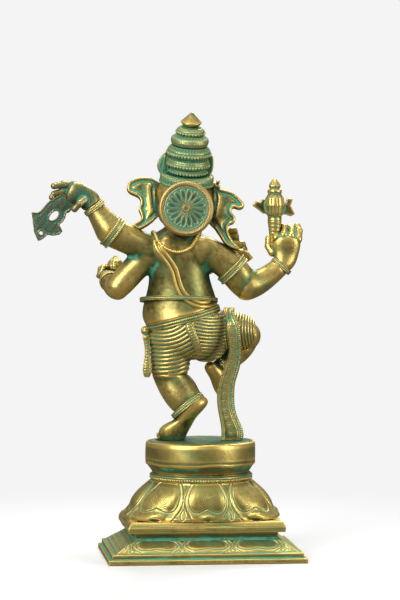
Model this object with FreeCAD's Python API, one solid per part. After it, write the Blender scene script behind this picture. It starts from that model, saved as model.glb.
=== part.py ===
import FreeCAD, Part
import math
import os

# Dancing four-armed elephant-headed figure on a stepped lotus base, cast in brass.
# Millimetres. +Z up, the figure faces +Y, +X is the figure's own right side.
# The origin is the centre of the rim the base stands on.

V = FreeCAD.Vector
X, Y, Z = V(1, 0, 0), V(0, 1, 0), V(0, 0, 1)
os.makedirs("parts", exist_ok=True)

# ---- base: heights from the rim the statue stands on -------------------------------
WALL = 5.0                  # casting wall of the hollow base
FOOT_W, FOOT_D = 226.0, 172.0       # lowest step of the plinth
STEP_INSET = 4.0            # second step stands in from the first
STEP_1_TOP, STEP_2_TOP = 5.8, 11.8
SLOPE_W, SLOPE_D = 210.0, 156.0     # foot of the engraved sloping face
NECK_W, NECK_D = 164.0, 126.0       # recess between plinth and slab
SLOPE_TOP, NECK_TOP = 26.0, 34.0
SLAB_W, SLAB_D = 180.0, 142.0
SLAB_EDGE_TOP, SLAB_TOP = 41.0, 46.0
SLAB_BEVEL = 4.0

LOTUS_TOP = 88.5
# lotus cushion: (height, half width, half depth, squareness of the outline)
LOTUS = [
    (SLAB_TOP, 88.0, 69.0, 3.2),
    (51.0, 87.0, 68.5, 3.1),
    (56.0, 83.0, 67.0, 2.9),
    (62.0, 79.5, 66.0, 2.7),
    (71.0, 74.0, 65.0, 2.4),
    (80.0, 65.0, 61.5, 2.1),
    (LOTUS_TOP, 57.0, 57.0, 2.0),
]
PETALS = 8                  # large petals round the cushion
PETAL_SWELL = 2.2           # each petal stands proud of the cushion by this much

RING_TOP, RING_R = 97.0, 59.4       # beaded ring under the drum
RING_BORE = 44.0
DRUM_FOOT_R, DRUM_R, DRUM_CHAMFER_TOP, DRUM_TOP = 55.4, 63.4, 107.5, 133.0
DRUM_WALL = 5.5
DRUM_X = -0.7               # the drum sits a hair off centre

# ---- how the body column runs, from the seat to the neck ----------------------------
# (x, y, z, half width, half depth, sideways tilt in degrees)
SEAT = [
    (-12.0, 3.0, 236.0, 31.0, 26.0, 6.0),
    (-14.0, 3.0, 247.0, 42.0, 33.0, 10.0),
    (-15.5, 3.0, 260.0, 47.0, 36.5, 13.0),
]
BELT_LINE = (-20.0, 4.0, 272.5, 41.0, 36.5, 15.0)
CHEST = [
    (-23.5, 11.0, 290.0, 42.3, 37.0, 6.0),
    (-23.4, 9.0, 308.0, 37.0, 31.5, 2.0),
    (-25.0, 5.0, 325.0, 34.5, 27.5, 0.0),
    (-26.8, 2.0, 342.0, 36.5, 25.0, -3.0),
    (-27.4, 1.0, 357.0, 36.5, 22.5, -6.0),
    (-25.5, 1.5, 368.5, 26.5, 18.0, -6.0),
    (-23.0, 2.0, 377.0, 18.5, 16.0, -3.0),
    (-21.0, 3.0, 385.0, 17.0, 16.0, 0.0),
]
# head, bottom to top: (x, y, z, half width, half depth)
HEAD = [
    (-21.0, 5.0, 374.0, 17.0, 17.0),
    (-20.5, 6.0, 383.0, 25.0, 25.0),
    (-20.0, 8.0, 395.0, 29.5, 29.0),
    (-19.0, 8.0, 408.0, 32.5, 30.0),
    (-18.0, 8.0, 420.0, 32.0, 28.5),
    (-17.0, 7.0, 430.0, 28.0, 25.0),
]

OVAL_POINTS = 16


def unit(v):
    return V(v) * (1.0 / v.Length)


def oval(centre, along, half_a, half_b, side=X, square=2.0):
    """Closed smooth outline square to `along`; half_a is measured toward `side`."""
    t = unit(along)
    u = unit(side - t * side.dot(t))
    v = t.cross(u)
    pts = []
    for k in range(OVAL_POINTS):
        a = 2 * math.pi * k / OVAL_POINTS
        c, s = math.cos(a), math.sin(a)
        p = 2.0 / square
        pts.append(centre + u * math.copysign(abs(c) ** p * half_a, c)
                   + v * math.copysign(abs(s) ** p * half_b, s))
    curve = Part.BSplineCurve()
    curve.interpolate(pts, PeriodicFlag=True)
    return Part.Wire([curve.toShape()])


def loft(sections):
    shape = Part.makeLoft(sections, True, False)
    return shape if shape.Volume > 0 else shape.reversed()


def limb(stations, side=X, ends="rr", first=None, last=None, square=2.0):
    """Smooth limb through (x, y, z, half_a, half_b); each end round 'r' or flat 'f'."""
    pts = [V(*s[:3]) for s in stations]
    n = len(pts)
    ways = [unit(pts[min(i + 1, n - 1)] - pts[max(i - 1, 0)]) for i in range(n)]
    if first is not None:
        ways[0] = unit(first)
    if last is not None:
        ways[-1] = unit(last)
    sections = [oval(p, w, s[3], s[4], side, square) for p, w, s in zip(pts, ways, stations)]
    for end, i, sign in ((ends[0], 0, -1), (ends[1], n - 1, 1)):
        if end != "r":
            continue
        a, b = stations[i][3:5]
        reach = 0.9 * min(a, b)
        cap = [oval(pts[i] + ways[i] * (sign * reach * d), ways[i], a * r, b * r, side, square)
               for d, r in ((0.5, 0.87), (0.87, 0.5))]
        tip = Part.Vertex(pts[i] + ways[i] * (sign * reach))
        sections = [tip] + cap[::-1] + sections if sign < 0 else sections + cap + [tip]
    return loft(sections)


def column(rows, ends="ff"):
    """Upright stack of (x, y, z, half width, half depth, tilt) as one solid."""
    sections = []
    for x, y, z, a, b, tilt in rows:
        r = math.radians(tilt)
        sections.append(oval(V(x, y, z), V(-math.sin(r), 0, math.cos(r)), a, b))
    if ends[0] == "r":
        x, y, z, a, b, tilt = rows[0]
        sections = [Part.Vertex(V(x, y, z - 9.0)), oval(V(x, y, z - 6.5), Z, a * 0.62, b * 0.62)] + sections
    return loft(sections)


def tube(points, radius, ends="rr"):
    """Round cord along hand-set points."""
    return limb([(*p, radius, radius) for p in points], side=Y, ends=ends)


def plate(outline, y, thick, lean=0.0, about=None):
    """Flat piece with a smooth closed outline of (x, z), `thick` deep, leaning about X."""
    curve = Part.BSplineCurve()
    curve.interpolate([V(x, y - thick / 2, z) for x, z in outline], PeriodicFlag=True)
    face = Part.Face(Part.Wire([curve.toShape()]))
    solid = face.extrude(V(0, thick, 0))
    if lean:
        solid.rotate(about, X, lean)
    return solid


def sharp_plate(outline, y, thick):
    pts = [V(x, y - thick / 2, z) for x, z in outline]
    return Part.Face(Part.makePolygon(pts + pts[:1])).extrude(V(0, thick, 0))


def ball(centre, r, stretch=(1, 1, 1)):
    s = Part.makeSphere(r)
    m = FreeCAD.Matrix()
    m.scale(*stretch)
    s = s.transformGeometry(m) if stretch != (1, 1, 1) else s
    s.translate(V(*centre))
    return s


def turned(profile, origin, axis):
    """Solid of revolution: (radius, height) pairs turned about `axis` at `origin`."""
    pts = [V(0, 0, profile[0][1])] + [V(r, 0, h) for r, h in profile] + [V(0, 0, profile[-1][1])]
    face = Part.Face(Part.makePolygon(pts + pts[:1]))
    solid = face.revolve(V(0, 0, 0), Z, 360)
    solid.Placement = FreeCAD.Placement(origin, FreeCAD.Rotation(Z, axis))
    return solid


def largest(shape):
    solids = shape.Solids
    return max(solids, key=lambda s: s.Volume) if solids else shape


def less(shape, *others):
    """What is left of `shape` where the others already are; crumbs are dropped."""
    for other in others:
        if shape.BoundBox.intersect(other.BoundBox):
            shape = largest(shape.cut(other))
    return shape


def join(first, *rest):
    whole = first
    for r in rest:
        whole = whole.fuse(r)
    return largest(whole.removeSplitter())


def band(centre, along, half_a, half_b, width, side=X):
    """Ornament band: a short bulging disc, to be cut by the limb that runs through it."""
    t = unit(along)
    return loft([oval(centre + t * (width * d), along, half_a * g, half_b * g, side)
                 for d, g in ((-0.5, 0.965), (-0.25, 1.0), (0.25, 1.0), (0.5, 0.965))])


parts = {}

# ======================================================================================
# Base
# ======================================================================================


def block(w, d, z0, z1):
    return Part.makeBox(w, d, z1 - z0, V(-w / 2, -d / 2, z0))


def rect(w, d, z):
    pts = [V(-w / 2, -d / 2, z), V(w / 2, -d / 2, z), V(w / 2, d / 2, z), V(-w / 2, d / 2, z)]
    return Part.makePolygon(pts + pts[:1])


def taper(w0, d0, z0, w1, d1, z1):
    return Part.makeLoft([rect(w0, d0, z0), rect(w1, d1, z1)], True, True)


outer = block(FOOT_W, FOOT_D, 0, STEP_1_TOP)
outer = outer.fuse(block(FOOT_W - 2 * STEP_INSET, FOOT_D - 2 * STEP_INSET, STEP_1_TOP, STEP_2_TOP))
outer = outer.fuse(taper(SLOPE_W, SLOPE_D, STEP_2_TOP, NECK_W, NECK_D, SLOPE_TOP))
outer = outer.fuse(block(NECK_W, NECK_D, SLOPE_TOP, NECK_TOP))
inner = block(SLOPE_W - 2 * WALL, SLOPE_D - 2 * WALL, 0, STEP_2_TOP)
inner = inner.fuse(taper(SLOPE_W - 2 * WALL, SLOPE_D - 2 * WALL, STEP_2_TOP,
                         NECK_W - 2 * WALL, NECK_D - 2 * WALL, SLOPE_TOP))
inner = inner.fuse(block(NECK_W - 2 * WALL, NECK_D - 2 * WALL, SLOPE_TOP, NECK_TOP))
parts["plinth"] = outer.cut(inner)

slab = block(SLAB_W, SLAB_D, NECK_TOP, SLAB_EDGE_TOP).fuse(
    taper(SLAB_W, SLAB_D, SLAB_EDGE_TOP, SLAB_W - 2 * SLAB_BEVEL, SLAB_D - 2 * SLAB_BEVEL, SLAB_TOP))
slab_bore = block(NECK_W - 2 * WALL, NECK_D - 2 * WALL, NECK_TOP, SLAB_TOP)
parts["base_slab"] = slab.cut(slab_bore)



def petal_ring(z, a, b, square, swell, count=96):
    """Outline of the cushion at one height: an oval that swells once for each petal."""
    pts = []
    for k in range(count):
        t = 2 * math.pi * k / count
        c, s = math.cos(t), math.sin(t)
        lift = swell * abs(math.cos(PETALS * t / 2)) ** 0.7
        x = math.copysign(abs(c) ** (2.0 / square) * a, c)
        y = math.copysign(abs(s) ** (2.0 / square) * b, s)
        out = 1 + (lift - swell) / math.hypot(x, y)
        pts.append(V(x * out, y * out, z))
    curve = Part.BSplineCurve()
    curve.interpolate(pts, PeriodicFlag=True)
    return Part.Wire([curve.toShape()])


PETAL_LIFT = [1.0, 1.2, 1.2, 1.1, 1.0, 0.7, 0.4]    # share of the swell at each height
cushion = loft([petal_ring(z, a, b, q, PETAL_SWELL * k) for (z, a, b, q), k in zip(LOTUS, PETAL_LIFT)])
cushion_bore = loft([oval(V(0, 0, z), Z, a - WALL, b - WALL, square=q) for z, a, b, q in LOTUS[:-1]]
                    + [oval(V(0, 0, LOTUS_TOP), Z, RING_BORE, RING_BORE)])
parts["lotus_cushion"] = cushion.cut(cushion_bore)

parts["bead_ring"] = Part.makeCylinder(RING_R, RING_TOP - LOTUS_TOP, V(0, 0, LOTUS_TOP)).cut(
    Part.makeCylinder(RING_BORE, RING_TOP - LOTUS_TOP, V(0, 0, LOTUS_TOP)))
drum_at = V(DRUM_X, 0, 0)
drum = turned([(DRUM_FOOT_R, RING_TOP), (DRUM_R, DRUM_CHAMFER_TOP), (DRUM_R, DRUM_TOP)], drum_at, Z)
drum_hollow = Part.makeCylinder(DRUM_FOOT_R - DRUM_WALL, DRUM_TOP - DRUM_WALL - RING_TOP,
                                V(DRUM_X, 0, RING_TOP))
parts["drum"] = drum.cut(drum_hollow)

# ======================================================================================
# Body, head and limbs
# ======================================================================================
torso = column([BELT_LINE] + CHEST)
hips = column(SEAT + [BELT_LINE], ends="rf")
head = less(limb(HEAD, ends="rf", last=V(0, -0.12, 1)), torso)
parts["torso"], parts["head"] = torso, head

# standing leg: wrapped thigh, bare knee and calf, foot on its toes
THIGH_HEM = (-36.0, 9.0, 209.0)
left_thigh = limb([(-31.0, 3.0, 256.0, 24.0, 25.0), (-34.0, 4.0, 240.0, 23.4, 25.0),
                   (-35.0, 6.0, 226.0, 22.6, 23.0), (*THIGH_HEM, 20.5, 21.0)],
                  ends="rf", last=V(0, 0, -1))
left_shin = column([(-14.5, -3.0, 174.5, 18.5, 14.0, 30.0), (-20.0, 0.0, 181.0, 20.6, 16.0, 16.0),
                    (-25.5, 4.5, 191.0, 22.6, 18.5, 4.0), (-30.0, 8.5, 200.5, 22.8, 20.0, 0.0),
                    (*THIGH_HEM, 20.0, 20.6, 0.0)])
left_foot = column([(-31.5, 4.5, DRUM_TOP, 14.0, 11.5, 0.0), (-32.0, 4.0, 140.0, 16.4, 13.0, 0.0),
                    (-28.6, 2.5, 148.0, 17.2, 13.0, 0.0), (-19.8, -1.0, 157.0, 14.4, 13.0, 8.0),
                    (-13.5, -4.0, 165.0, 17.0, 13.5, 14.0), (-10.6, -5.0, 172.0, 18.6, 14.0, 14.0),
                    (-12.5, -4.5, 180.0, 15.0, 12.0, 14.0)])
TOES = 5
for k in range(TOES):
    x0 = -42.5 + 5.9 * k
    left_foot = join(left_foot, limb([(x0, 8.0, 140.5, 3.9, 4.6), (x0 - 0.5, 17.0, 138.2, 3.7, 4.0),
                                      (x0 - 0.8, 21.0 + 1.1 * k, 137.0, 3.4, 3.4)]))
under = Part.makeBox(200, 200, 40, V(-100, -100, DRUM_TOP - 40))
left_foot = less(left_foot, under)

# raised leg: thigh out to the figure's right, shin folded back in front
RIGHT_HEM = (57.0, 26.0, 254.0)
RIGHT_HEM_WAY = V(0.88, 0.42, -0.12)
right_thigh = limb([(2.0, 6.0, 256.0, 24.0, 24.0), (22.0, 12.0, 258.5, 23.0, 23.5),
                    (41.0, 20.0, 257.5, 21.5, 22.5), (*RIGHT_HEM, 18.6, 18.6)],
                   side=Z, ends="rf", last=RIGHT_HEM_WAY)
right_shin = join(ball((55.5, 28.5, 251.0), 17.0),
                  limb([(55.0, 30.5, 246.0, 14.6, 14.6), (48.0, 32.0, 234.0, 14.0, 13.8),
                        (38.5, 32.0, 224.5, 12.4, 12.2), (28.5, 30.0, 217.5, 10.6, 10.4)], side=Y))
right_foot = limb([(14.5, 25.0, 215.0, 8.0, 9.0), (21.5, 27.0, 206.5, 9.6, 10.0),
                   (25.5, 29.5, 197.0, 9.8, 8.0), (29.5, 31.5, 188.0, 9.2, 5.4)], side=V(0.92, 0, 0.38))
for k in range(TOES):
    u = -6.6 + 3.3 * k
    right_foot = join(right_foot, limb([(29.5 + 0.9 * u, 32.0, 188.5 + 0.36 * u, 2.4, 3.0),
                                        (32.0 + 0.9 * u, 33.5, 181.5 + 0.4 * u, 2.0, 2.6)]))

# ======================================================================================
# Arms.  Each: shoulder to elbow, then elbow to wrist, then the hand
# ======================================================================================
rl_upper = limb([(-52.0, -1.0, 349.0, 17.0, 16.0), (-68.0, -3.0, 356.0, 16.4, 15.5),
                 (-86.0, -6.0, 364.5, 16.6, 15.5), (-104.0, -8.0, 372.5, 16.0, 15.0)], side=Z)
rl_fore = limb([(-105.0, -8.0, 374.0, 15.4, 15.0), (-113.0, -7.0, 386.0, 14.2, 13.6),
                (-119.5, -6.0, 395.0, 12.0, 11.6), (-125.0, -6.0, 403.0, 11.0, 10.4)],
               side=V(0.8, 0, 0.5), ends="rf", last=V(-0.58, 0, 0.81))
fl_upper = limb([(-53.0, 2.0, 351.0, 17.0, 16.0), (-68.0, 1.0, 338.0, 15.6, 15.5),
                 (-83.5, -1.0, 322.5, 15.0, 14.6), (-95.5, -3.0, 309.5, 14.0, 14.0)], side=V(0.7, 0, -0.7))
fl_fore = limb([(-96.0, -2.0, 309.0, 13.2, 13.2), (-99.5, 12.0, 309.5, 12.0, 12.0),
                (-102.0, 25.0, 313.0, 10.4, 10.4), (-103.0, 34.0, 316.5, 9.4, 9.0)],
               side=X, ends="rf", last=V(-0.05, 0.93, 0.36))
rr_upper = limb([(-4.0, -1.0, 352.0, 18.0, 17.0), (14.0, -3.0, 345.0, 17.6, 17.0),
                 (34.0, -5.0, 331.0, 17.6, 16.4), (50.0, -6.0, 311.0, 16.0, 15.4)], side=V(0.7, 0, 0.7))
rr_fore = limb([(52.0, -6.0, 309.0, 15.2, 15.0), (66.0, -4.0, 314.5, 14.4, 13.6),
                (80.0, -2.0, 323.0, 12.4, 12.0), (94.5, 0.0, 334.5, 10.8, 10.4)],
               side=V(-0.5, 0, 0.85), ends="rf", last=V(0.63, 0, 0.78))
fr_upper = limb([(-6.0, 8.0, 350.0, 15.0, 15.0), (2.0, 24.0, 341.0, 13.6, 13.6),
                 (8.0, 37.0, 334.0, 12.4, 12.4)])
fr_fore = limb([(9.0, 38.0, 334.0, 11.8, 11.8), (22.0, 43.0, 338.0, 10.6, 10.6),
                (36.0, 44.0, 344.5, 9.2, 9.2)], side=Y, ends="rf", last=V(0.75, 0, 0.66))

# hands
rl_palm = limb([(-125.0, -6.0, 403.0, 11.0, 10.4), (-131.0, -6.5, 410.0, 12.4, 9.0),
                (-140.0, -7.0, 415.0, 12.6, 7.8), (-148.0, -7.5, 418.5, 12.0, 6.6)],
               side=V(0.5, 0, 0.8), ends="fr", first=V(-0.58, 0, 0.81))
RL_FINGERS = [
    [(-146.0, -5.0, 425.5), (-158.0, -7.0, 426.5), (-169.0, -9.0, 424.5)],
    [(-148.0, -3.0, 419.0), (-160.0, -4.0, 417.0), (-171.5, -7.0, 411.5)],
    [(-146.0, -2.0, 412.5), (-156.0, 0.0, 408.0), (-163.0, -2.0, 402.5)],
    [(-141.0, -3.0, 407.5), (-149.0, 0.0, 402.0), (-153.5, -2.0, 397.0)],
]
rl_hand = rl_palm
for line in RL_FINGERS:
    rl_hand = join(rl_hand, limb([(*p, 4.6 - 0.5 * i, 4.4 - 0.5 * i) for i, p in enumerate(line)]))
rl_hand = join(rl_hand, limb([(-134.0, -13.0, 409.0, 5.0, 5.0), (-141.0, -18.0, 404.0, 4.6, 4.6),
                              (-146.0, -16.0, 398.5, 4.0, 4.0)], side=Z))

rr_palm = limb([(94.5, 0.0, 334.5, 10.8, 10.4), (97.5, 1.0, 343.0, 14.0, 9.4),
                (98.5, 1.0, 352.0, 15.6, 8.4), (99.0, 0.0, 362.0, 15.6, 7.4)],
               side=X, ends="fr", first=V(0.63, 0, 0.78))
RR_FINGERS = [
    [(112.0, 0.0, 363.0), (114.0, 6.0, 373.0), (112.5, 10.0, 378.5)],
    [(104.0, -1.0, 367.0), (105.5, 6.0, 374.0), (103.0, 13.0, 376.5)],
    [(95.5, -1.0, 368.0), (97.0, 7.0, 376.5), (94.0, 14.0, 379.0)],
    [(87.0, 0.0, 365.0), (88.5, 9.0, 374.0), (88.0, 15.0, 378.0)],
]
rr_hand = rr_palm
for line in RR_FINGERS:
    rr_hand = join(rr_hand, limb([(*p, 4.8 - 0.5 * i, 4.7 - 0.5 * i) for i, p in enumerate(line)]))
rr_hand = join(rr_hand, limb([(83.5, 4.0, 348.0, 5.2, 5.2), (79.0, 8.0, 356.0, 4.8, 4.8),
                              (79.5, 10.0, 364.0, 4.2, 4.2)]))

fl_palm = limb([(-103.0, 34.0, 316.5, 9.4, 9.0), (-102.5, 41.0, 319.0, 11.0, 8.0),
                (-100.0, 50.0, 321.0, 12.4, 7.0)], side=X, ends="fr", first=V(-0.05, 0.93, 0.36))
FL_FINGERS = [
    [(-106.0, 44.0, 317.0), (-112.0, 46.0, 322.0), (-108.5, 46.0, 330.5)],
    [(-107.0, 52.0, 318.0), (-113.0, 55.0, 320.5), (-111.0, 55.5, 328.5)],
    [(-103.0, 58.0, 319.0), (-107.5, 63.0, 322.0), (-105.0, 62.5, 330.0)],
    [(-96.0, 59.0, 320.0), (-97.0, 65.5, 323.5), (-95.0, 64.0, 331.0)],
]
fl_hand = fl_palm
for line in FL_FINGERS:
    fl_hand = join(fl_hand, limb([(*p, 4.3 - 0.4 * i, 4.2 - 0.4 * i) for i, p in enumerate(line)]))
fl_hand = join(fl_hand, limb([(-93.0, 42.0, 319.0, 4.6, 4.6), (-83.5, 46.0, 321.0, 4.2, 4.2),
                              (-79.0, 49.0, 326.0, 3.7, 3.7)], side=Z))
sweet = turned([(5.5, -8.5), (9.4, -4.0), (9.8, 0.0), (7.6, 5.0), (3.4, 8.6), (0.8, 11.5)],
               V(-94.5, 51.0, 332.5), Z)

fr_palm = limb([(36.0, 44.0, 344.5, 9.2, 9.2), (41.0, 43.5, 350.0, 9.8, 8.4),
                (45.0, 43.0, 356.0, 9.4, 7.0)], side=V(0.75, 0, -0.6), ends="fr", first=V(0.75, 0, 0.66))
# two fingers raised side by side, two curled round the tusk, and the thumb
fr_raised = limb([(42.0, 43.0, 359.0, 7.2, 4.4), (42.0, 42.5, 367.5, 6.6, 4.0),
                  (41.5, 42.0, 373.5, 5.4, 3.4)])
fr_curled = limb([(47.0, 44.5, 353.0, 7.4, 4.6), (54.0, 49.5, 353.5, 6.8, 4.2),
                  (56.5, 53.5, 348.5, 5.6, 3.6)], side=Z)
fr_thumb = limb([(45.0, 38.0, 348.0, 4.6, 4.6), (52.0, 36.5, 347.0, 4.2, 4.2),
                 (57.5, 38.0, 344.5, 3.7, 3.7)], side=Z)
fr_hand = join(join(join(fr_palm, fr_raised), fr_curled), fr_thumb)
broken_tusk = Part.makeCone(2.0, 4.4, 21.0, V(50.5, 44.5, 355.5), V(0.56, 0.0, -0.83))

# ======================================================================================
# Ornaments and cloth
# ======================================================================================
BELT_HEIGHT = 7.0
belt = band(V(-20.0, 4.0, 273.5), V(-math.sin(math.radians(15)), 0, math.cos(math.radians(15))),
            43.2, 38.8, BELT_HEIGHT)
belly_band = band(V(-24.5, 11.0, 293.5), V(0.02, 0.12, 1), 44.4, 38.6, 4.2)


def ease(rows, z, col):
    """Read a column's own stations at height z."""
    rows = sorted(rows, key=lambda r: r[2])
    for lo, hi in zip(rows, rows[1:]):
        if lo[2] <= z <= hi[2]:
            f = (z - lo[2]) / (hi[2] - lo[2])
            return lo[col] + f * (hi[col] - lo[col])
    return rows[-1][col]


def on_back(x, z, side=-1):
    """y of the torso's back (side -1) or front (side 1) at a given x and z."""
    rows = [BELT_LINE] + CHEST
    cx, cy, a, b = (ease(rows, z, c) for c in (0, 1, 3, 4))
    t = max(0.0, 1 - ((x - cx) / a) ** 2)
    return cy + side * b * math.sqrt(t)


THREAD_R = 2.6
thread_line = [(-50.0, 371.5), (-51.0, 360.0), (-44.0, 346.5), (-34.5, 331.5),
               (-29.5, 316.0), (-25.0, 304.0), (-15.0, 294.0), (-1.0, 289.0), (9.0, 289.5)]
thread = tube([(x, on_back(x, z) - 0.6, z) for x, z in thread_line], THREAD_R)

NECKLACE_R = 2.4
necklace_line = [(-51.0, 374.5), (-45.0, 362.0), (-32.6, 354.3), (-18.0, 355.5), (-7.0, 362.0),
                 (-3.0, 368.5)]
necklace_back = [(x, on_back(x, z) - 0.6, z) for x, z in necklace_line]
necklace_front = [(-45.5, 14.0, 367.0), (-38.0, 23.5, 356.0), (-26.0, 28.5, 350.0), (-14.0, 24.5, 355.0),
                  (-6.0, 15.0, 364.0)]
necklace = join(tube(necklace_back, NECKLACE_R), tube([necklace_back[0]] + necklace_front
                                                    + [necklace_back[-1]], NECKLACE_R))

# side sash hanging from the belt to the drum: (x, y, z, half width, half thickness)
SASH = [
    (29.5, -20.0, 284.0, 5.0, 2.8), (34.0, -24.0, 266.0, 7.0, 2.8), (36.6, -22.0, 247.0, 7.2, 2.8),
    (36.4, -17.0, 228.0, 8.0, 2.8), (31.0, -13.0, 208.0, 9.2, 2.8), (27.6, -10.0, 190.0, 9.8, 2.8),
    (28.8, -8.0, 168.0, 9.8, 2.8), (33.6, -8.0, 150.0, 11.4, 2.8), (34.6, -8.0, DRUM_TOP, 12.4, 2.8),
]
sash = limb(SASH, side=X, ends="rf", last=V(0, 0, -1), square=3.0)

ribbon = limb([(-64.0, -7.0, 255.0, 3.4, 2.2), (-62.6, -7.5, 245.0, 3.6, 2.3),
               (-62.2, -8.0, 228.0, 3.7, 2.3),
               (-62.9, -8.5, 208.0, 3.9, 2.3)], side=X, square=3.0)
knot = ball((-64.3, -6.0, 259.5), 5.4)
hip_ribbon = join(ribbon, knot, ball((-63.6, -7.0, 251.5), 3.6, (1.2, 1.0, 0.6)))

# strap drawn up between the buttocks, lying on the seat
strap = limb([(-17.5, -32.5, 268.0, 5.0, 3.0), (-14.0, -33.5, 258.0, 5.0, 3.2),
              (-9.0, -31.5, 247.0, 4.4, 3.2),
              (-5.5, -25.5, 237.0, 3.8, 3.2)], side=X, square=2.6)
# gathered cloth falling between the legs
front_drape = limb([(7.0, 8.0, 248.0, 22.0, 17.0), (9.0, 10.0, 240.0, 21.0, 16.0),
                    (10.0, 12.0, 235.0, 19.0, 13.0)],
                   side=X)

# ears: outline (x, z) seen from behind, figure's left ear then right ear
EAR_THICK = 6.0
LEFT_EAR = [(-47.0, 428.0), (-56.0, 433.5), (-66.0, 434.5), (-77.0, 432.0), (-84.0, 424.0), (-82.5, 418.5),
            (-76.5, 414.5), (-71.0, 411.5), (-68.9, 403.5), (-71.0, 397.5), (-68.8, 391.0), (-68.5, 386.0),
            (-77.0, 379.5), (-88.0, 373.5), (-95.3, 368.5), (-92.5, 364.8), (-80.0, 368.5), (-66.0, 376.0),
            (-56.0, 383.0), (-47.0, 392.0), (-43.0, 404.0), (-42.0, 418.0)]
RIGHT_EAR = [(9.0, 424.0), (18.0, 422.5), (27.0, 419.8), (36.0, 416.8), (44.7, 409.4), (49.4, 400.0),
             (43.5, 397.8), (37.4, 399.5), (34.4, 394.0), (38.6, 387.5), (37.6, 381.5), (31.6, 378.6),
             (29.5, 373.5), (32.5, 364.0), (38.0, 355.5), (43.0, 349.4), (33.0, 352.0), (24.0, 361.0),
             (18.0, 371.0), (9.5, 380.5), (3.0, 394.0), (4.5, 410.0)]
EAR_LEAN = -17.0
left_ear = plate(LEFT_EAR, 3.0, EAR_THICK, EAR_LEAN, V(0, 3, 405))
right_ear = plate(RIGHT_EAR, 3.0, EAR_THICK, EAR_LEAN, V(0, 3, 400))
left_leaf = limb([(-51.0, 9.0, 427.0, 5.5, 4.0), (-54.0, 8.0, 437.0, 5.0, 3.6),
                  (-57.5, 6.0, 445.0, 1.6, 1.4)])
right_leaf = limb([(14.5, 9.0, 419.5, 5.0, 4.0), (19.0, 8.0, 427.0, 4.6, 3.6),
                   (24.0, 6.0, 433.0, 1.5, 1.4)])
left_ear, right_ear = join(left_ear, left_leaf), join(right_ear, right_leaf)

trunk = limb([(-19.0, 26.0, 404.0, 16.0, 16.0), (-19.0, 38.0, 392.0, 14.5, 14.0),
              (-19.5, 47.0, 377.0, 12.4, 12.4), (-22.0, 52.5, 361.0, 10.8, 10.8),
              (-28.0, 56.0, 346.0, 9.6, 9.6), (-40.0, 57.0, 335.0, 8.6, 8.6),
              (-54.0, 55.5, 331.5, 7.4, 7.4), (-66.0, 52.5, 334.5, 6.4, 6.4),
              (-74.0, 50.0, 342.5, 5.4, 5.4)], side=V(0.8, 0.1, 0.6))
left_tusk = limb([(-34.0, 28.0, 389.0, 4.4, 4.4), (-37.5, 40.0, 385.5, 3.8, 3.8),
                  (-41.0, 50.0, 385.0, 2.2, 2.2)], side=Z)
right_tusk_stub = Part.makeCone(4.6, 3.6, 24.0, V(-5.0, 24.0, 390.0), V(0.2, 0.93, -0.3))

# disc behind the head, on a short stem
DISC_R, DISC_THICK = 31.0, 7.0
DISC_AT = V(-20.8, -37.5, 399.6)
DISC_WAY = unit(V(0.09, 1.0, -0.07))
disc = turned([(DISC_R - 1.6, 0), (DISC_R, 2.0), (DISC_R, 5.0), (DISC_R - 1.6, DISC_THICK),
               (7.0, DISC_THICK),
               (7.0, 22.0)], DISC_AT, DISC_WAY)

# crown: profiles turned about one leaning axis
CROWN_FOOT = V(-16.6, 8.5, 427.0)
CROWN_WAY = unit(V(0.062, -0.27, 1.0))
CROWN_TIP = 84.6            # along the axis from the crown's foot
crown_band = turned([(29.0, 0), (30.2, 2.5), (30.2, 9.0), (26.5, 12.5)], CROWN_FOOT, CROWN_WAY)
lower_tiers = turned([(20.0, 12.5), (22.0, 16.0), (22.0, 18.0), (20.5, 19.0), (23.4, 22.5), (24.0, 26.5),
                      (22.6, 30.0), (20.4, 31.5), (23.2, 33.5), (24.6, 37.5), (24.2, 41.0), (20.0, 45.5)],
                     CROWN_FOOT, CROWN_WAY)
upper_tiers = turned([(18.0, 45.5), (20.6, 47.5), (21.6, 51.0), (20.8, 54.5), (16.0, 58.0), (14.0, 59.0),
                      (15.6, 61.0), (15.9, 64.0), (13.0, 66.8), (8.5, 68.0)], CROWN_FOOT, CROWN_WAY)
finial = turned([(7.5, 68.0), (9.6, 69.5), (12.1, 73.0), (11.2, 75.8), (6.2, 79.0), (2.6, 81.8),
                 (0.7, CROWN_TIP)],
                CROWN_FOOT, CROWN_WAY)
left_petal = plate([(-41.0, 434.0), (-47.0, 440.0), (-49.5, 449.0), (-46.0, 457.0), (-38.5, 463.5),
                    (-36.5, 456.0), (-37.0, 446.0)], 4.0, 7.0)
right_petal = plate([(7.0, 434.0), (12.5, 440.0), (14.6, 449.0), (12.4, 459.5), (8.6, 455.0), (6.5, 446.0)],
                    4.0, 7.0)

# noose: flat cut-out plate hung from the rear left hand
NOOSE_Y, NOOSE_T = -8.0, 4.5
NOOSE = [(-134.0, 401.0), (-151.0, 396.5), (-154.6, 394.0), (-156.0, 388.0), (-158.4, 384.0),
         (-162.6, 380.5),
         (-158.8, 373.0), (-163.0, 369.0), (-170.0, 368.0), (-176.8, 369.0), (-181.0, 364.6),
         (-187.0, 361.8),
         (-191.8, 373.2), (-192.4, 379.0), (-194.4, 395.4), (-187.4, 394.6), (-184.6, 396.4),
         (-174.2, 408.0),
         (-160.0, 416.0), (-140.0, 414.0)]
noose = sharp_plate(NOOSE, NOOSE_Y, NOOSE_T)
hole = Part.makeCylinder(3.6, 12, V(0, NOOSE_Y - 6, 0), Y)
stretch = FreeCAD.Matrix()
stretch.scale(1.8, 1.0, 1.0)
hole = hole.transformGeometry(stretch)
hole.rotate(V(0, 0, 0), Y, -45)
hole.translate(V(-168.8, 0, 390.8))
rivet_hole = Part.makeCylinder(2.0, 12, V(-183.6, NOOSE_Y - 6, 371.3), Y)
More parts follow.
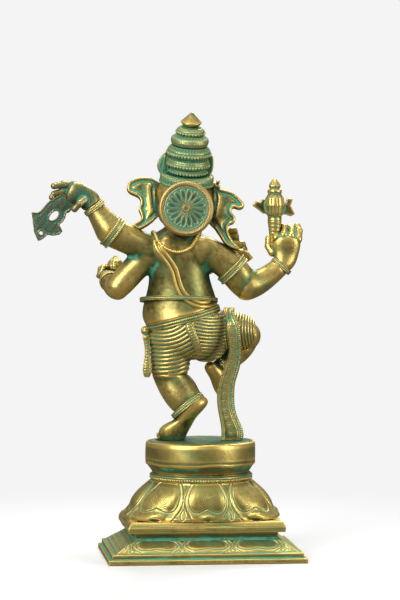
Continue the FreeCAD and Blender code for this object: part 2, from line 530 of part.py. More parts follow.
noose = noose.cut(hole).cut(rivet_hole)

# goad-axe standing in the rear right hand
AXE_X, AXE_Y = 85.8, 6.0
axe = turned([(5.8, 352.0), (6.2, 366.0), (7.2, 376.0), (8.2, 384.0), (7.8, 389.0), (10.4, 393.5),
              (11.8, 402.5),
              (10.6, 410.5), (7.4, 415.5), (8.4, 417.4), (8.2, 420.0), (5.2, 421.0), (7.2, 424.2),
              (5.0, 428.6),
              (2.0, 432.2), (0.6, 433.4)], V(AXE_X, AXE_Y, 0), Z)
hook = sharp_plate([(79.0, 411.0), (74.0, 409.0), (71.5, 410.0), (68.5, 405.8), (64.4, 407.4),
                    (59.7, 402.0),
                    (65.0, 398.4), (72.5, 392.5), (80.0, 392.0)], AXE_Y, 5.0)
blade = sharp_plate([(92.0, 403.0), (97.5, 402.0), (100.4, 410.4), (107.0, 409.8), (104.4, 401.8),
                     (109.2, 392.4),
                     (104.6, 389.4), (97.4, 391.8), (92.0, 391.0)], AXE_Y, 5.0)
axe = join(axe, hook, blade)

# bands round the limbs
rl_armlet = band(V(-101.5, -8.0, 371.5), V(-0.78, 0, 0.62), 18.0, 17.0, 7.5, side=V(0.62, 0, 0.78))
rl_bracelet = band(V(-122.6, -6.0, 400.2), V(-0.62, 0, 0.78), 13.0, 12.4, 5.0, side=V(0.78, 0, 0.62))
rr_armlet = band(V(36.0, -5.0, 329.0), V(0.7, 0, -0.7), 19.4, 18.2, 7.5, side=V(0.7, 0, 0.7))
rr_bracelet = band(V(92.8, 0.0, 332.6), V(0.66, 0, 0.75), 12.8, 12.2, 5.0, side=V(-0.75, 0, 0.66))
fl_bracelet = band(V(-102.4, 29.0, 314.6), V(-0.1, 0.93, 0.36), 11.6, 11.6, 5.0)
left_anklet = band(V(-15.6, -2.0, 172.6), V(0.6, -0.2, -0.76), 21.0, 17.6, 5.0, side=V(0.78, 0, 0.62))
right_anklet = band(V(29.0, 30.0, 218.0), V(0.81, 0, 0.52), 12.8, 12.6, 4.6, side=V(-0.52, 0, 0.81))

# ======================================================================================
# Give every piece its own volume: earlier pieces keep theirs, later ones are cut back
# ======================================================================================
parts["hips"], parts["torso"] = less(hips, belt), less(torso, belt)
parts["left_thigh"] = less(left_thigh, hips, torso)
parts["right_thigh"] = less(right_thigh, hips, torso, parts["left_thigh"])
parts["left_shin"] = less(left_shin, left_thigh)
parts["left_foot"] = less(left_foot, parts["left_shin"])
parts["right_shin"] = less(right_shin, right_thigh)
parts["right_foot"] = less(right_foot, parts["right_shin"])
parts["rear_left_upper_arm"] = less(rl_upper, torso)
parts["rear_left_forearm"] = less(rl_fore, rl_upper)
parts["front_left_upper_arm"] = less(fl_upper, torso, rl_upper)
parts["front_left_forearm"] = less(fl_fore, fl_upper)
parts["rear_right_upper_arm"] = less(rr_upper, torso)
parts["rear_right_forearm"] = less(rr_fore, rr_upper, rr_bracelet)
parts["front_right_upper_arm"] = less(fr_upper, torso, rr_upper)
parts["front_right_forearm"] = less(fr_fore, fr_upper)
parts["rear_left_hand"] = less(rl_hand, parts["rear_left_forearm"])
parts["rear_right_hand"] = less(rr_hand, rr_bracelet)
parts["front_left_hand"] = less(fl_hand, parts["front_left_forearm"])
parts["front_right_hand"] = fr_hand
parts["noose"] = less(noose, parts["rear_left_hand"])
parts["axe"] = less(axe, parts["rear_right_hand"])
parts["broken_tusk"] = less(broken_tusk, parts["front_right_hand"])
parts["trunk"] = less(trunk, head)
parts["sweet"] = less(sweet, parts["front_left_hand"], parts["trunk"])
parts["left_tusk"] = less(left_tusk, head, parts["trunk"])
parts["right_tusk_stub"] = less(right_tusk_stub, head, parts["trunk"])
parts["halo_disc"] = less(disc, head)
parts["crown_band"] = less(crown_band, head)
parts["crown_lower_tiers"] = less(lower_tiers, crown_band, head)
parts["crown_upper_tiers"] = less(upper_tiers, lower_tiers)
parts["crown_finial"] = less(finial, upper_tiers)
parts["left_crown_petal"] = less(left_petal, crown_band, lower_tiers, head)
parts["right_crown_petal"] = less(right_petal, crown_band, lower_tiers, head)
arms = [rl_upper, fl_upper, rr_upper, fr_upper]
parts["left_ear"] = less(left_ear, head, crown_band, torso, *arms)
parts["right_ear"] = less(right_ear, head, crown_band, torso, *arms)
parts["waist_belt"] = belt
parts["belly_band"] = less(belly_band, torso)
parts["sacred_thread"] = less(thread, torso, *arms, parts["belly_band"])
parts["necklace"] = less(necklace, torso, head, *arms, thread, left_ear, right_ear)
parts["seat_strap"] = less(strap, hips, torso, belt, left_thigh, right_thigh)
parts["side_sash"] = less(sash, hips, torso, belt, right_thigh, right_shin, right_foot)
parts["hip_ribbon"] = less(hip_ribbon, hips, belt, left_thigh)
parts["front_drape"] = less(front_drape, hips, left_thigh, right_thigh, right_shin, right_foot, sash)
parts["rear_left_armlet"] = less(rl_armlet, rl_upper, rl_fore, left_ear)
parts["rear_left_bracelet"] = less(rl_bracelet, parts["rear_left_forearm"], parts["rear_left_hand"])
parts["rear_right_armlet"] = less(rr_armlet, rr_upper)
parts["rear_right_bracelet"] = rr_bracelet
parts["front_left_bracelet"] = less(fl_bracelet, fl_fore)
parts["left_anklet"] = less(left_anklet, left_shin, left_foot)
parts["right_anklet"] = less(right_anklet, right_shin, right_foot)

# pegs that fix the figure to the drum
PEG_R, PEG_DEEP, PEG_UP = 5.0, DRUM_WALL + 7.0, 6.0
foot_peg = Part.makeCylinder(PEG_R, PEG_DEEP + PEG_UP, V(-30.0, 4.0, DRUM_TOP - PEG_DEEP))
sash_peg = Part.makeBox(12.0, 3.0, PEG_DEEP + PEG_UP, V(28.6, -9.5, DRUM_TOP - PEG_DEEP))
parts["foot_peg"], parts["sash_peg"] = foot_peg, sash_peg
parts["left_foot"] = less(parts["left_foot"], foot_peg)
parts["side_sash"] = less(parts["side_sash"], sash_peg)
parts["drum"] = parts["drum"].cut(foot_peg).cut(sash_peg)

for node, shape in parts.items():
    print(f"{node:24s} solids {len(shape.Solids)} valid {shape.isValid()} volume {shape.Volume / 1000:8.2f} cm3")
    shape.exportStep(f"parts/{node}.step")
print(len(parts), "nodes,", round(sum(s.Volume for s in parts.values()) * 8.5e-6, 2), "kg of brass")
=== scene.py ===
import math

import bpy
import numpy as np
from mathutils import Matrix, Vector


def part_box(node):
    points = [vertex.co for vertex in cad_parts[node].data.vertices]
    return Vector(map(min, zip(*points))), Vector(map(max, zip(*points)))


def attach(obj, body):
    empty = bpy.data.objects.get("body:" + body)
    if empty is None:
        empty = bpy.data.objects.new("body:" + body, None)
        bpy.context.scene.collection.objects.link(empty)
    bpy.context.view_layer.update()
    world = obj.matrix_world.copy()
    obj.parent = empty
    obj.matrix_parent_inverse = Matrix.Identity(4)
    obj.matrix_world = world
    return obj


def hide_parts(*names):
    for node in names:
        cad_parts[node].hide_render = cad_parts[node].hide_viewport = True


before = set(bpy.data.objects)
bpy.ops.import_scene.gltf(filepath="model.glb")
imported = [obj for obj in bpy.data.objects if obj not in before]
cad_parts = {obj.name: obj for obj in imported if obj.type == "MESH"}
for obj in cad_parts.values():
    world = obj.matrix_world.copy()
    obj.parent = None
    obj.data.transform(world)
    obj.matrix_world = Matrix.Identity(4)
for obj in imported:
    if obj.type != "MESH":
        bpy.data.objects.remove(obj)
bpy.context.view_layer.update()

import openvdb as vdb
from mathutils import Vector
from mathutils.bvhtree import BVHTree

# Dancing elephant-headed figure in aged brass.  Metres; the figure faces +Y, so the back faces -Y.
MM = 0.001
COARSE = 1.0
BODY_VOXEL, LIMB_VOXEL, HAND_VOXEL = 0.8 * MM, 0.7 * MM, 0.5 * MM
THIN_VOXEL, SMALL_VOXEL = 0.45 * MM, 0.35 * MM


# ---------------------------------------------------------------- reading the CAD nodes
def node_mesh(name):
    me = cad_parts[name].data
    v = np.empty(len(me.vertices) * 3, np.float32)
    me.vertices.foreach_get("co", v)
    me.calc_loop_triangles()
    t = np.empty(len(me.loop_triangles) * 3, np.int32)
    me.loop_triangles.foreach_get("vertices", t)
    return v.reshape(-1, 3), t.reshape(-1, 3).astype(np.uint32)


MESH = {n: node_mesh(n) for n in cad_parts}


def lohi(name):
    lo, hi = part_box(name)
    return np.array(lo), np.array(hi)


def middle(name):
    lo, hi = lohi(name)
    return (lo + hi) / 2


def balance(name):
    """Area centre of a node and its three axes, longest first."""
    v, t = MESH[name]
    a, b, c = (v[t[:, i]].astype(float) for i in range(3))
    area = np.linalg.norm(np.cross(b - a, c - a), axis=1) / 2
    mid = (a + b + c) / 3
    centre = (mid * area[:, None]).sum(0) / area.sum()
    d = mid - centre
    vec = np.linalg.eigh((d * area[:, None]).T @ d)[1]
    return centre, vec[:, ::-1].T


def section(name, axis, at):
    """Points where a node's surface crosses the plane of one coordinate."""
    v, t = MESH[name]
    d = v[:, axis] - at
    out = []
    for i, j in ((0, 1), (1, 2), (2, 0)):
        a, b = t[:, i], t[:, j]
        cut = (d[a] > 0) != (d[b] > 0)
        a, b = a[cut], b[cut]
        k = (d[a] / (d[a] - d[b]))[:, None]
        out.append(v[a] * (1 - k) + v[b] * k)
    return np.vstack(out)


TREES = {}


def tree(name):
    if name not in TREES:
        v, t = MESH[name]
        TREES[name] = BVHTree.FromPolygons(v.tolist(), t.tolist())
    return TREES[name]


def on_skin(x, z, nodes, side=-1.0):
    """Outermost y of the named nodes at x, z, seen from the back (-1) or the front (+1)."""
    best = None
    for n in nodes:
        hit = tree(n).ray_cast(Vector((x, side * 0.4, z)), Vector((0, -side, 0)))[0]
        if hit is not None and (best is None or hit.y * side > best * side):
            best = hit.y
    return best


def unit_rows(v):
    return v / np.maximum(np.linalg.norm(v, axis=1, keepdims=True), 1e-12)


def unit(v):
    v = np.array(v, float)
    return v / np.linalg.norm(v)


def arc(line):
    """Distance along a polyline at each of its points."""
    return np.append(0, np.cumsum(np.linalg.norm(np.diff(line, axis=0), axis=1)))


def points_at(line, t):
    """Points of a polyline at the distances t from its start."""
    s = arc(line)
    return np.stack([np.interp(t, s, line[:, k]) for k in range(line.shape[1])], 1)


def relax(p, closed=False, times=1):
    """Evens out rows of values, each towards the middle of its two neighbours."""
    for _ in range(times):
        if closed:
            p = 0.5 * p + 0.25 * (np.roll(p, 1, 0) + np.roll(p, -1, 0))
        else:
            p[1:-1] = 0.5 * p[1:-1] + 0.25 * (p[2:] + p[:-2])
    return p


def round_about(turn, u, v):
    """Directions at the angles turn in the plane of u and v; these may be rows of vectors."""
    return np.cos(turn)[:, None] * u[..., None, :] + np.sin(turn)[:, None] * v[..., None, :]


def smoothstep(x, a, b):
    t = np.clip((x - a) / (b - a), 0, 1)
    return t * t * (3 - 2 * t)


# ---------------------------------------------------------------- distance fields
def soft_min(a, b, k):
    if k <= 0:
        return np.minimum(a, b)
    h = np.clip(0.5 + 0.5 * (b - a) / k, 0, 1)
    return b + (a - b) * h - k * h * (1 - h)


def blur3(a, times=1):
    for _ in range(times):
        for ax in range(3):
            p = np.pad(a, [(1, 1) if i == ax else (0, 0) for i in range(3)], mode="edge")
            n = a.shape[ax]
            cut = [tuple(slice(k, k + n) if i == ax else slice(None) for i in range(3)) for k in range(3)]
            a = 0.25 * p[cut[0]] + 0.5 * p[cut[1]] + 0.25 * p[cut[2]]
    return a


class Field:
    """Signed distance in metres on a regular grid round the named CAD nodes."""

    def __init__(self, nodes, vox, band=8, pad=8):
        lo = np.min([lohi(n)[0] for n in nodes], axis=0)
        hi = np.max([lohi(n)[1] for n in nodes], axis=0)
        self.vox, self.band = vox, band
        self.lo = np.floor(lo / vox).astype(int) - pad
        self.size = np.ceil(hi / vox).astype(int) + pad - self.lo
        self.d = np.full(self.size, band * vox, np.float32)
        self.xf = vdb.createLinearTransform(voxelSize=vox)

    def window(self, lo, hi, grow):
        a = np.maximum(np.floor((lo - grow) / self.vox).astype(int) - self.lo, 0)
        b = np.minimum(np.ceil((hi + grow) / self.vox).astype(int) - self.lo + 1, self.size)
        return a, b, tuple(slice(i, j) for i, j in zip(a, b))

    def node(self, name, blend=0.0, grow=0.0, cut=False):
        v, t = MESH[name]
        a, b, win = self.window(v.min(0), v.max(0), (self.band + 1) * self.vox)
        g = vdb.FloatGrid.createLevelSetFromPolygons(v, triangles=t, transform=self.xf,
                                                     halfWidth=float(self.band))
        arr = np.full(b - a, self.band * self.vox, np.float32)
        g.copyToArray(arr, ijk=tuple(int(x) for x in (a + self.lo)))
        if cut:
            self.d[win] = -soft_min(-self.d[win], arr - grow, blend)
        else:
            self.d[win] = soft_min(self.d[win], arr - grow, blend)
        return self

    def put(self, dist, lo, hi, blend, cut=False):
        a, b, win = self.window(np.array(lo), np.array(hi), blend + 3 * self.vox)
        if np.any(b <= a):
            return self
        ax = [((np.arange(i, j) + l) * self.vox).astype(np.float32) for i, j, l in zip(a, b, self.lo)]
        d = dist(*np.meshgrid(*ax, indexing="ij", sparse=True))
        self.d[win] = -soft_min(-self.d[win], d, blend) if cut else soft_min(self.d[win], d, blend)
        return self

    def capsule(self, p, q, r0, r1, blend=2 * MM, cut=False):
        p, q = np.array(p, float), np.array(q, float)
        ba = q - p
        bb = max(float(ba @ ba), 1e-12)

        def dist(x, y, z):
            h = np.clip(((x - p[0]) * ba[0] + (y - p[1]) * ba[1] + (z - p[2]) * ba[2]) / bb, 0, 1)
            return np.sqrt((x - p[0] - ba[0] * h) ** 2 + (y - p[1] - ba[1] * h) ** 2
                           + (z - p[2] - ba[2] * h) ** 2) - (r0 + (r1 - r0) * h)
        r = max(r0, r1)
        return self.put(dist, np.minimum(p, q) - r, np.maximum(p, q) + r, blend, cut)

    def chain(self, pts, radii, blend=2 * MM, cut=False):
        for p, q, a, b in zip(pts, pts[1:], radii, radii[1:]):
            self.capsule(p, q, a, b, blend, cut)
        return self

    def egg(self, c, r, blend=2 * MM, cut=False):
        c, r = np.array(c, float), np.array(r, float)

        def dist(x, y, z):
            k0 = np.sqrt(((x - c[0]) / r[0]) ** 2 + ((y - c[1]) / r[1]) ** 2 + ((z - c[2]) / r[2]) ** 2)
            k1 = np.sqrt(((x - c[0]) / r[0] ** 2) ** 2 + ((y - c[1]) / r[1] ** 2) ** 2
                         + ((z - c[2]) / r[2] ** 2) ** 2) + 1e-9
            return k0 * (k0 - 1) / k1
        return self.put(dist, c - r, c + r, blend, cut)

    def at(self, arr, pts):
        f = np.clip(pts / self.vox - self.lo, 0, np.array(arr.shape) - 1.001)
        i = f.astype(int)
        w = (f - i).astype(np.float32)
        out = 0
        for corner in range(8):
            o = [(corner >> k) & 1 for k in range(3)]
            k = np.prod([w[:, c] if o[c] else 1 - w[:, c] for c in range(3)], axis=0)
            out = out + k * arr[i[:, 0] + o[0], i[:, 1] + o[1], i[:, 2] + o[2]]
        return out

    def surface(self, smooth=3):
        self.soft = blur3(self.d, smooth)
        g = vdb.FloatGrid(self.band * self.vox)
        g.copyFromArray(np.ascontiguousarray(self.soft),
                        ijk=tuple(int(x) for x in self.lo), tolerance=0.0)
        g.transform = self.xf
        v, q = g.convertToQuads(0.0)
        q = q.astype(np.int64)
        return outward(v.astype(float), np.vstack([q[:, [0, 1, 2]], q[:, [0, 2, 3]]]))


# ---------------------------------------------------------------- meshes
def outward(v, f):
    a, b, c = (v[f[:, i]] for i in range(3))
    if np.einsum("ij,ij->i", a, np.cross(b, c)).sum() < 0:
        f = f[:, ::-1]
    return v, f


def normals(v, f):
    fn = np.cross(v[f[:, 1]] - v[f[:, 0]], v[f[:, 2]] - v[f[:, 0]])
    n = np.stack([sum(np.bincount(f[:, k], fn[:, c], len(v)) for k in range(3)) for c in range(3)], 1)
    return n / np.maximum(np.linalg.norm(n, axis=1, keepdims=True), 1e-15)


def average(v, f, times):
    a = np.concatenate([f[:, 0], f[:, 1], f[:, 2]])
    b = np.concatenate([f[:, 1], f[:, 2], f[:, 0]])
    count = np.bincount(a, minlength=len(v)) + np.bincount(b, minlength=len(v)) + 1e-9
    for _ in range(times):
        s = np.stack([np.bincount(a, v[b, c], len(v)) + np.bincount(b, v[a, c], len(v)) for c in range(3)], 1)
        v = 0.5 * v + 0.5 * s / count[:, None]
    return v


def reading(v, f, n):
    """-1 in a groove .. +1 on a proud edge, from how far each vertex stands off its neighbours."""
    e = np.linalg.norm(v[f[:, 0]] - v[f[:, 1]], axis=1).mean()
    out = 0
    done, soft = 0, v
    for times, reach, share in ((5, 2.2 * MM, 0.6), (22, 5 * MM, 0.5)):
        soft = average(soft, f, times - done)
        done = times
        bend = np.einsum("ij,ij->i", v - soft, n) * 8 / (e * e * times)
        out = out + share * np.clip(bend * reach, -1, 1)
    return np.clip(out, -1, 1)


# shelter: how enclosed a point is by the whole object; the brass materials turn it into green patina and,
# where it is high, painted near-black shade
SHELTER = Field(list(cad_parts), 2 * MM, band=3, pad=12)
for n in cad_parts:
    SHELTER.node(n)
NEAR = blur3(np.clip(0.5 - SHELTER.d / (2 * SHELTER.vox), 0, 1), 8)
WIDE = blur3(NEAR, 40)


def shelter(v, n):
    """0 in the open .. about 1 deep between parts."""
    near = SHELTER.at(NEAR, v + n * 5 * MM)
    wide = SHELTER.at(WIDE, v + n * 13 * MM)
    return np.clip(near * 1.6 + wide * 1.5 - 0.27, 0, 1)


def make(name, v, f, material, nodes=(), slot="body_brass", shelter_added=0.0):
    """One visual piece with its proud and shelter readings, which drive wear, patina and painted shade,
    riding on the root body.
    """
    n = normals(v, f)
    me = bpy.data.meshes.new(name)
    me.vertices.add(len(v))
    me.vertices.foreach_set("co", v.astype(np.float32).ravel())
    me.loops.add(len(f) * 3)
    me.loops.foreach_set("vertex_index", f.astype(np.int32).ravel())
    me.polygons.add(len(f))
    me.polygons.foreach_set("loop_start", np.arange(0, len(f) * 3, 3))
    me.update(calc_edges=True)
    me.polygons.foreach_set("use_smooth", np.ones(len(f), bool))
    # an extra amount added to the shelter reading: it gives more green patina and more of the painted
    # near-black shade
    if callable(shelter_added):
        shelter_added = shelter_added(v, n)
    for key, value in (("proud", reading(v, f, n)), ("shelter", shelter(v, n) + shelter_added)):
        a = me.attributes.new(key, "FLOAT", "POINT")
        a.data.foreach_set("value", np.clip(value, -1, 1).astype(np.float32))
    me.materials.append(material)
    me.validate()
    o = bpy.data.objects.new(name, me)
    bpy.context.scene.collection.objects.link(o)
    if nodes:
        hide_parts(*nodes)
    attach(o, "root")
    return o


SKINS = {}


def hug(p, skin, lift, closed=False, turns=8):
    """Moves a line of points until they stand at one height over a finished skin."""
    field = SKINS[skin]
    e = 1.0 * MM
    for _ in range(turns):
        d = field.at(field.soft, p)
        g = np.stack([field.at(field.soft, p + e * np.eye(3)[k]) - field.at(field.soft, p - e * np.eye(3)[k])
                      for k in range(3)], 1)
        g /= np.maximum(np.linalg.norm(g, axis=1, keepdims=True), 1e-9)
        near = (d < field.band * field.vox * 0.9)[:, None]
        p = relax(p + near * g * (lift - d)[:, None] * 0.7, closed)
    return p


def largest(v, f):
    """Keeps the biggest connected part of a mesh, so no thin tip is left floating on its own."""
    label = np.arange(len(v))
    while True:
        low = label.copy()
        np.minimum.at(low, f.ravel(), np.repeat(label[f].min(1), 3))
        low = low[low]
        if np.array_equal(low, label):
            break
        label = low
    keep = label == np.bincount(label).argmax()
    place = np.cumsum(keep) - 1
    return v[keep], place[f[keep[f[:, 0]]]]


def cast(name, nodes, vox, blend, material, slot="body_brass", smooth=3, shape=None, relief=None, shelter_added=0.0):
    """Melts CAD nodes into one skin; shape edits the field, relief moves the finished surface."""
    field = Field(nodes, vox * COARSE)
    for n in nodes:
        field.node(n, blend)
    if shape:
        shape(field)
    v, f = largest(*field.surface(smooth))
    SKINS[name] = field
    if relief:
        n = normals(v, f)
        v = v + n * relief(v, n)[:, None]
    return make(name, v, f, material, nodes, slot, shelter_added)


def solid_of(rows, height=None, shell=False):
    """Closed triangles over rows of points (rows, round, 3), moved out by height.

    Each end gets a fan; in a shell, as a hollow casting has, the last row joins the first instead.
    """
    n, m = rows.shape[:2]
    i, j = np.arange(n if shell else n - 1)[:, None] * m, np.arange(m)[None]
    i2, j2 = (i + m) % (n * m), (j + 1) % m
    a, b, c, d = (x.ravel() for x in (i + j, i + j2, i2 + j2, i2 + j))
    v, f = rows.reshape(-1, 3), [np.stack([a, b, c], 1), np.stack([a, c, d], 1)]
    if not shell:
        r = np.arange(m)
        k = (r + 1) % m
        v = np.vstack([v, rows[0].mean(0), rows[-1].mean(0)])
        f += [np.stack([np.full(m, n * m), k, r], 1),
              np.stack([np.full(m, n * m + 1), (n - 1) * m + r, (n - 1) * m + k], 1)]
    v, f = outward(v, np.vstack(f))
    if height is not None:
        lift = np.zeros(len(v))
        lift[:n * m] = height.ravel()
        v = v + normals(v, f) * lift[:, None]
    return v, f


def even(line, step):
    """Points spread evenly along a polyline."""
    line = np.array(line, float)
    length = arc(line)[-1]
    t = np.linspace(0, length, max(int(length / step), 4) + 1)
    return points_at(line, t), t


def spline(pts, per=12, closed=False):
    """Catmull-Rom through a few points."""
    p = np.array(pts, float)
    q = np.vstack([p[-1:], p, p[:2]]) if closed else np.vstack([2 * p[0] - p[1], p, 2 * p[-1] - p[-2]])
    t = np.linspace(0, 1, per, endpoint=False)[:, None]
    out = []
    for a, b, c, d in zip(q, q[1:], q[2:], q[3:]):
        out.append(0.5 * (2 * b + (c - a) * t + (2 * a - 5 * b + 4 * c - d) * t ** 2
                          + (3 * b - a - 3 * c + d) * t ** 3))
    out = np.vstack(out)
    return out if closed else np.vstack([out, p[-1:]])


def line_distance(x, y, line):
    """Distance from each point (x, y) to a polyline."""
    best = np.full(x.shape, 1e9)
    for (ax, ay), (bx, by) in zip(line, line[1:]):
        dx, dy = bx - ax, by - ay
        h = np.clip(((x - ax) * dx + (y - ay) * dy) / (dx * dx + dy * dy + 1e-12), 0, 1)
        best = np.minimum(best, (x - ax - dx * h) ** 2 + (y - ay - dy * h) ** 2)
    return np.sqrt(best)


def groove(d, width):
    return np.exp(-(d / width) ** 2)


def beads(turn, count, s, at, width, height):
    """A row of round beads: turn in radians round the piece, s along it."""
    frac = (turn * count / (2 * np.pi)) % 1 - 0.5
    return height * np.sqrt(np.clip(1 - (frac * 2.1) ** 2 - ((s - at) / width) ** 2, 0, 1))


def frame_about(axis, like=(1, 0, 0)):
    w = unit(axis)
    u = unit(np.array(like, float) - w * np.dot(like, w))
    return u, np.cross(w, u), w


def lathe(name, origin, axis, profile, step, around, relief, material, nodes, slot, like=(1, 0, 0),
          shelter_added=0.0, hollow=False):
    """Turns (radius, height) pairs about an axis; relief(turn, s, r, h) stands off the surface."""
    u, v, w = frame_about(axis, like)
    p, s = even(profile, step)
    turn = np.linspace(0, 2 * np.pi, around, endpoint=False)
    r, h = p[:, 0][:, None], p[:, 1][:, None]
    rows = origin + round_about(turn, u, v) * r[..., None] + w * h[..., None]
    height = np.broadcast_to(relief(turn[None], s[:, None], r, h), rows.shape[:2])
    return make(name, *solid_of(rows, height, hollow), material, nodes, slot, shelter_added)


def profile_of(names, origin, axis, lo, hi, step):
    """Greatest radius of CAD nodes about an axis, at even heights."""
    u, v, w = frame_about(axis)
    out = []
    for h in np.arange(lo, hi, step):
        r = 0
        for n in names:
            for t in np.arange(0, 2 * np.pi, np.pi / 6):
                d = u * math.cos(t) + v * math.sin(t)
                hit = tree(n).ray_cast(Vector(origin + w * h + d * 0.12), Vector(-d), 0.119)[0]
                if hit is not None:
                    r = max(r, np.dot(np.array(hit) - origin, d))
        out.append((r, h))
    return out


def ring(name, material, slot, bead=0.0, rows=1, wall=4 * MM, lift=0.6 * MM, widen=1.1, around=300):
    """A worn band in place of a CAD band: flat middle, rounded lips, rows of beads."""
    centre, axes = balance(name)
    w = axes[2]
    u, t = axes[0], np.cross(w, axes[0])
    v = MESH[name][0] - centre
    a, rad, ang = v @ w, np.hypot(v @ u, v @ t), np.arctan2(v @ t, v @ u)
    half = (a.max() - a.min()) / 2 * widen
    bins = 48
    which = ((ang + np.pi) / (2 * np.pi) * bins).astype(int) % bins
    out = np.array([rad[which == k].max() if np.any(which == k) else np.nan for k in range(bins)])
    good = ~np.isnan(out)
    at = (np.arange(bins) + 0.5) / bins * 2 * np.pi - np.pi
    out = np.interp(at, at[good], out[good], period=2 * np.pi)
    turn = np.linspace(-np.pi, np.pi, around, endpoint=False)
    r_out = np.interp(turn, at, out, period=2 * np.pi) + lift
    r_out = relax(r_out, closed=True, times=6)
    mid = (a.max() + a.min()) / 2
    # profile: from the inner lip over the outside to the other inner lip, as (axial, inset)
    lip = [(1.0, wall), (1.0, 0.9 * MM), (0.86, 0.25 * MM), (0.66, 0.35 * MM), (0.52, 0.75 * MM)]
    shape = spline([(-along, depth) for along, depth in lip] + [(0, 0.45 * MM)] + lip[::-1], 6)
    ax, sunk = shape[:, 0][:, None] * half, shape[:, 1][:, None]
    row = 0
    n = int(2 * np.pi * r_out.mean() / (2.4 * MM))
    if bead:
        for k in range(rows):
            where = 0 if rows == 1 else (-0.7 + 1.4 * k / (rows - 1)) * half
            row = row + beads(turn[None], n, ax, where, max(1.15 * MM, 0.3 * half), bead)
    r = r_out[None] - sunk + row
    out = round_about(turn, u, t)
    outer = centre + w * (ax[..., None] + mid) + r[..., None] * out
    inner = centre + w * (ax[[-1, 0]][..., None] + mid) + (r_out[None] - wall * 1.9)[..., None] * out
    rows = np.concatenate([outer, inner])
    return make(name + "_band", *solid_of(rows, shell=True), material, [name], slot)


def edge_distance(v, u, w, cell=0.8 * MM, reach=14):
    """How far each vertex of a thin plate is from the plate's outline."""
    a, b = v @ u, v @ w
    i = ((a - a.min()) / cell).astype(int) + 2
    j = ((b - b.min()) / cell).astype(int) + 2
    mask = np.zeros((i.max() + 3, j.max() + 3))
    mask[i, j] = 1
    for _ in range(2):                                   # closes single empty cells
        grown = np.maximum.reduce([np.roll(mask, s, ax) for s in (-1, 0, 1) for ax in (0, 1)])
        mask = np.minimum.reduce([np.roll(grown, s, ax) for s in (-1, 0, 1) for ax in (0, 1)])
    dist, m = mask.copy(), mask
    for step in range(reach):
        around = [np.roll(m, s, ax) for s in (-1, 1) for ax in (0, 1)]
        if step % 2:
            around += [np.roll(np.roll(m, s, 0), t, 1) for s in (-1, 1) for t in (-1, 1)]
        m = np.minimum.reduce([m] + around)
        dist = dist + m
    for _ in range(3):
        dist = 0.5 * dist + 0.125 * sum(np.roll(dist, s, ax) for s in (-1, 1) for ax in (0, 1))
    x, y = (a - a.min()) / cell + 1.5, (b - b.min()) / cell + 1.5
    x0, y0 = x.astype(int), y.astype(int)
    fx, fy = x - x0, y - y0
    return cell * (dist[x0, y0] * (1 - fx) * (1 - fy) + dist[x0 + 1, y0] * fx * (1 - fy)
                   + dist[x0, y0 + 1] * (1 - fx) * fy + dist[x0 + 1, y0 + 1] * fx * fy)


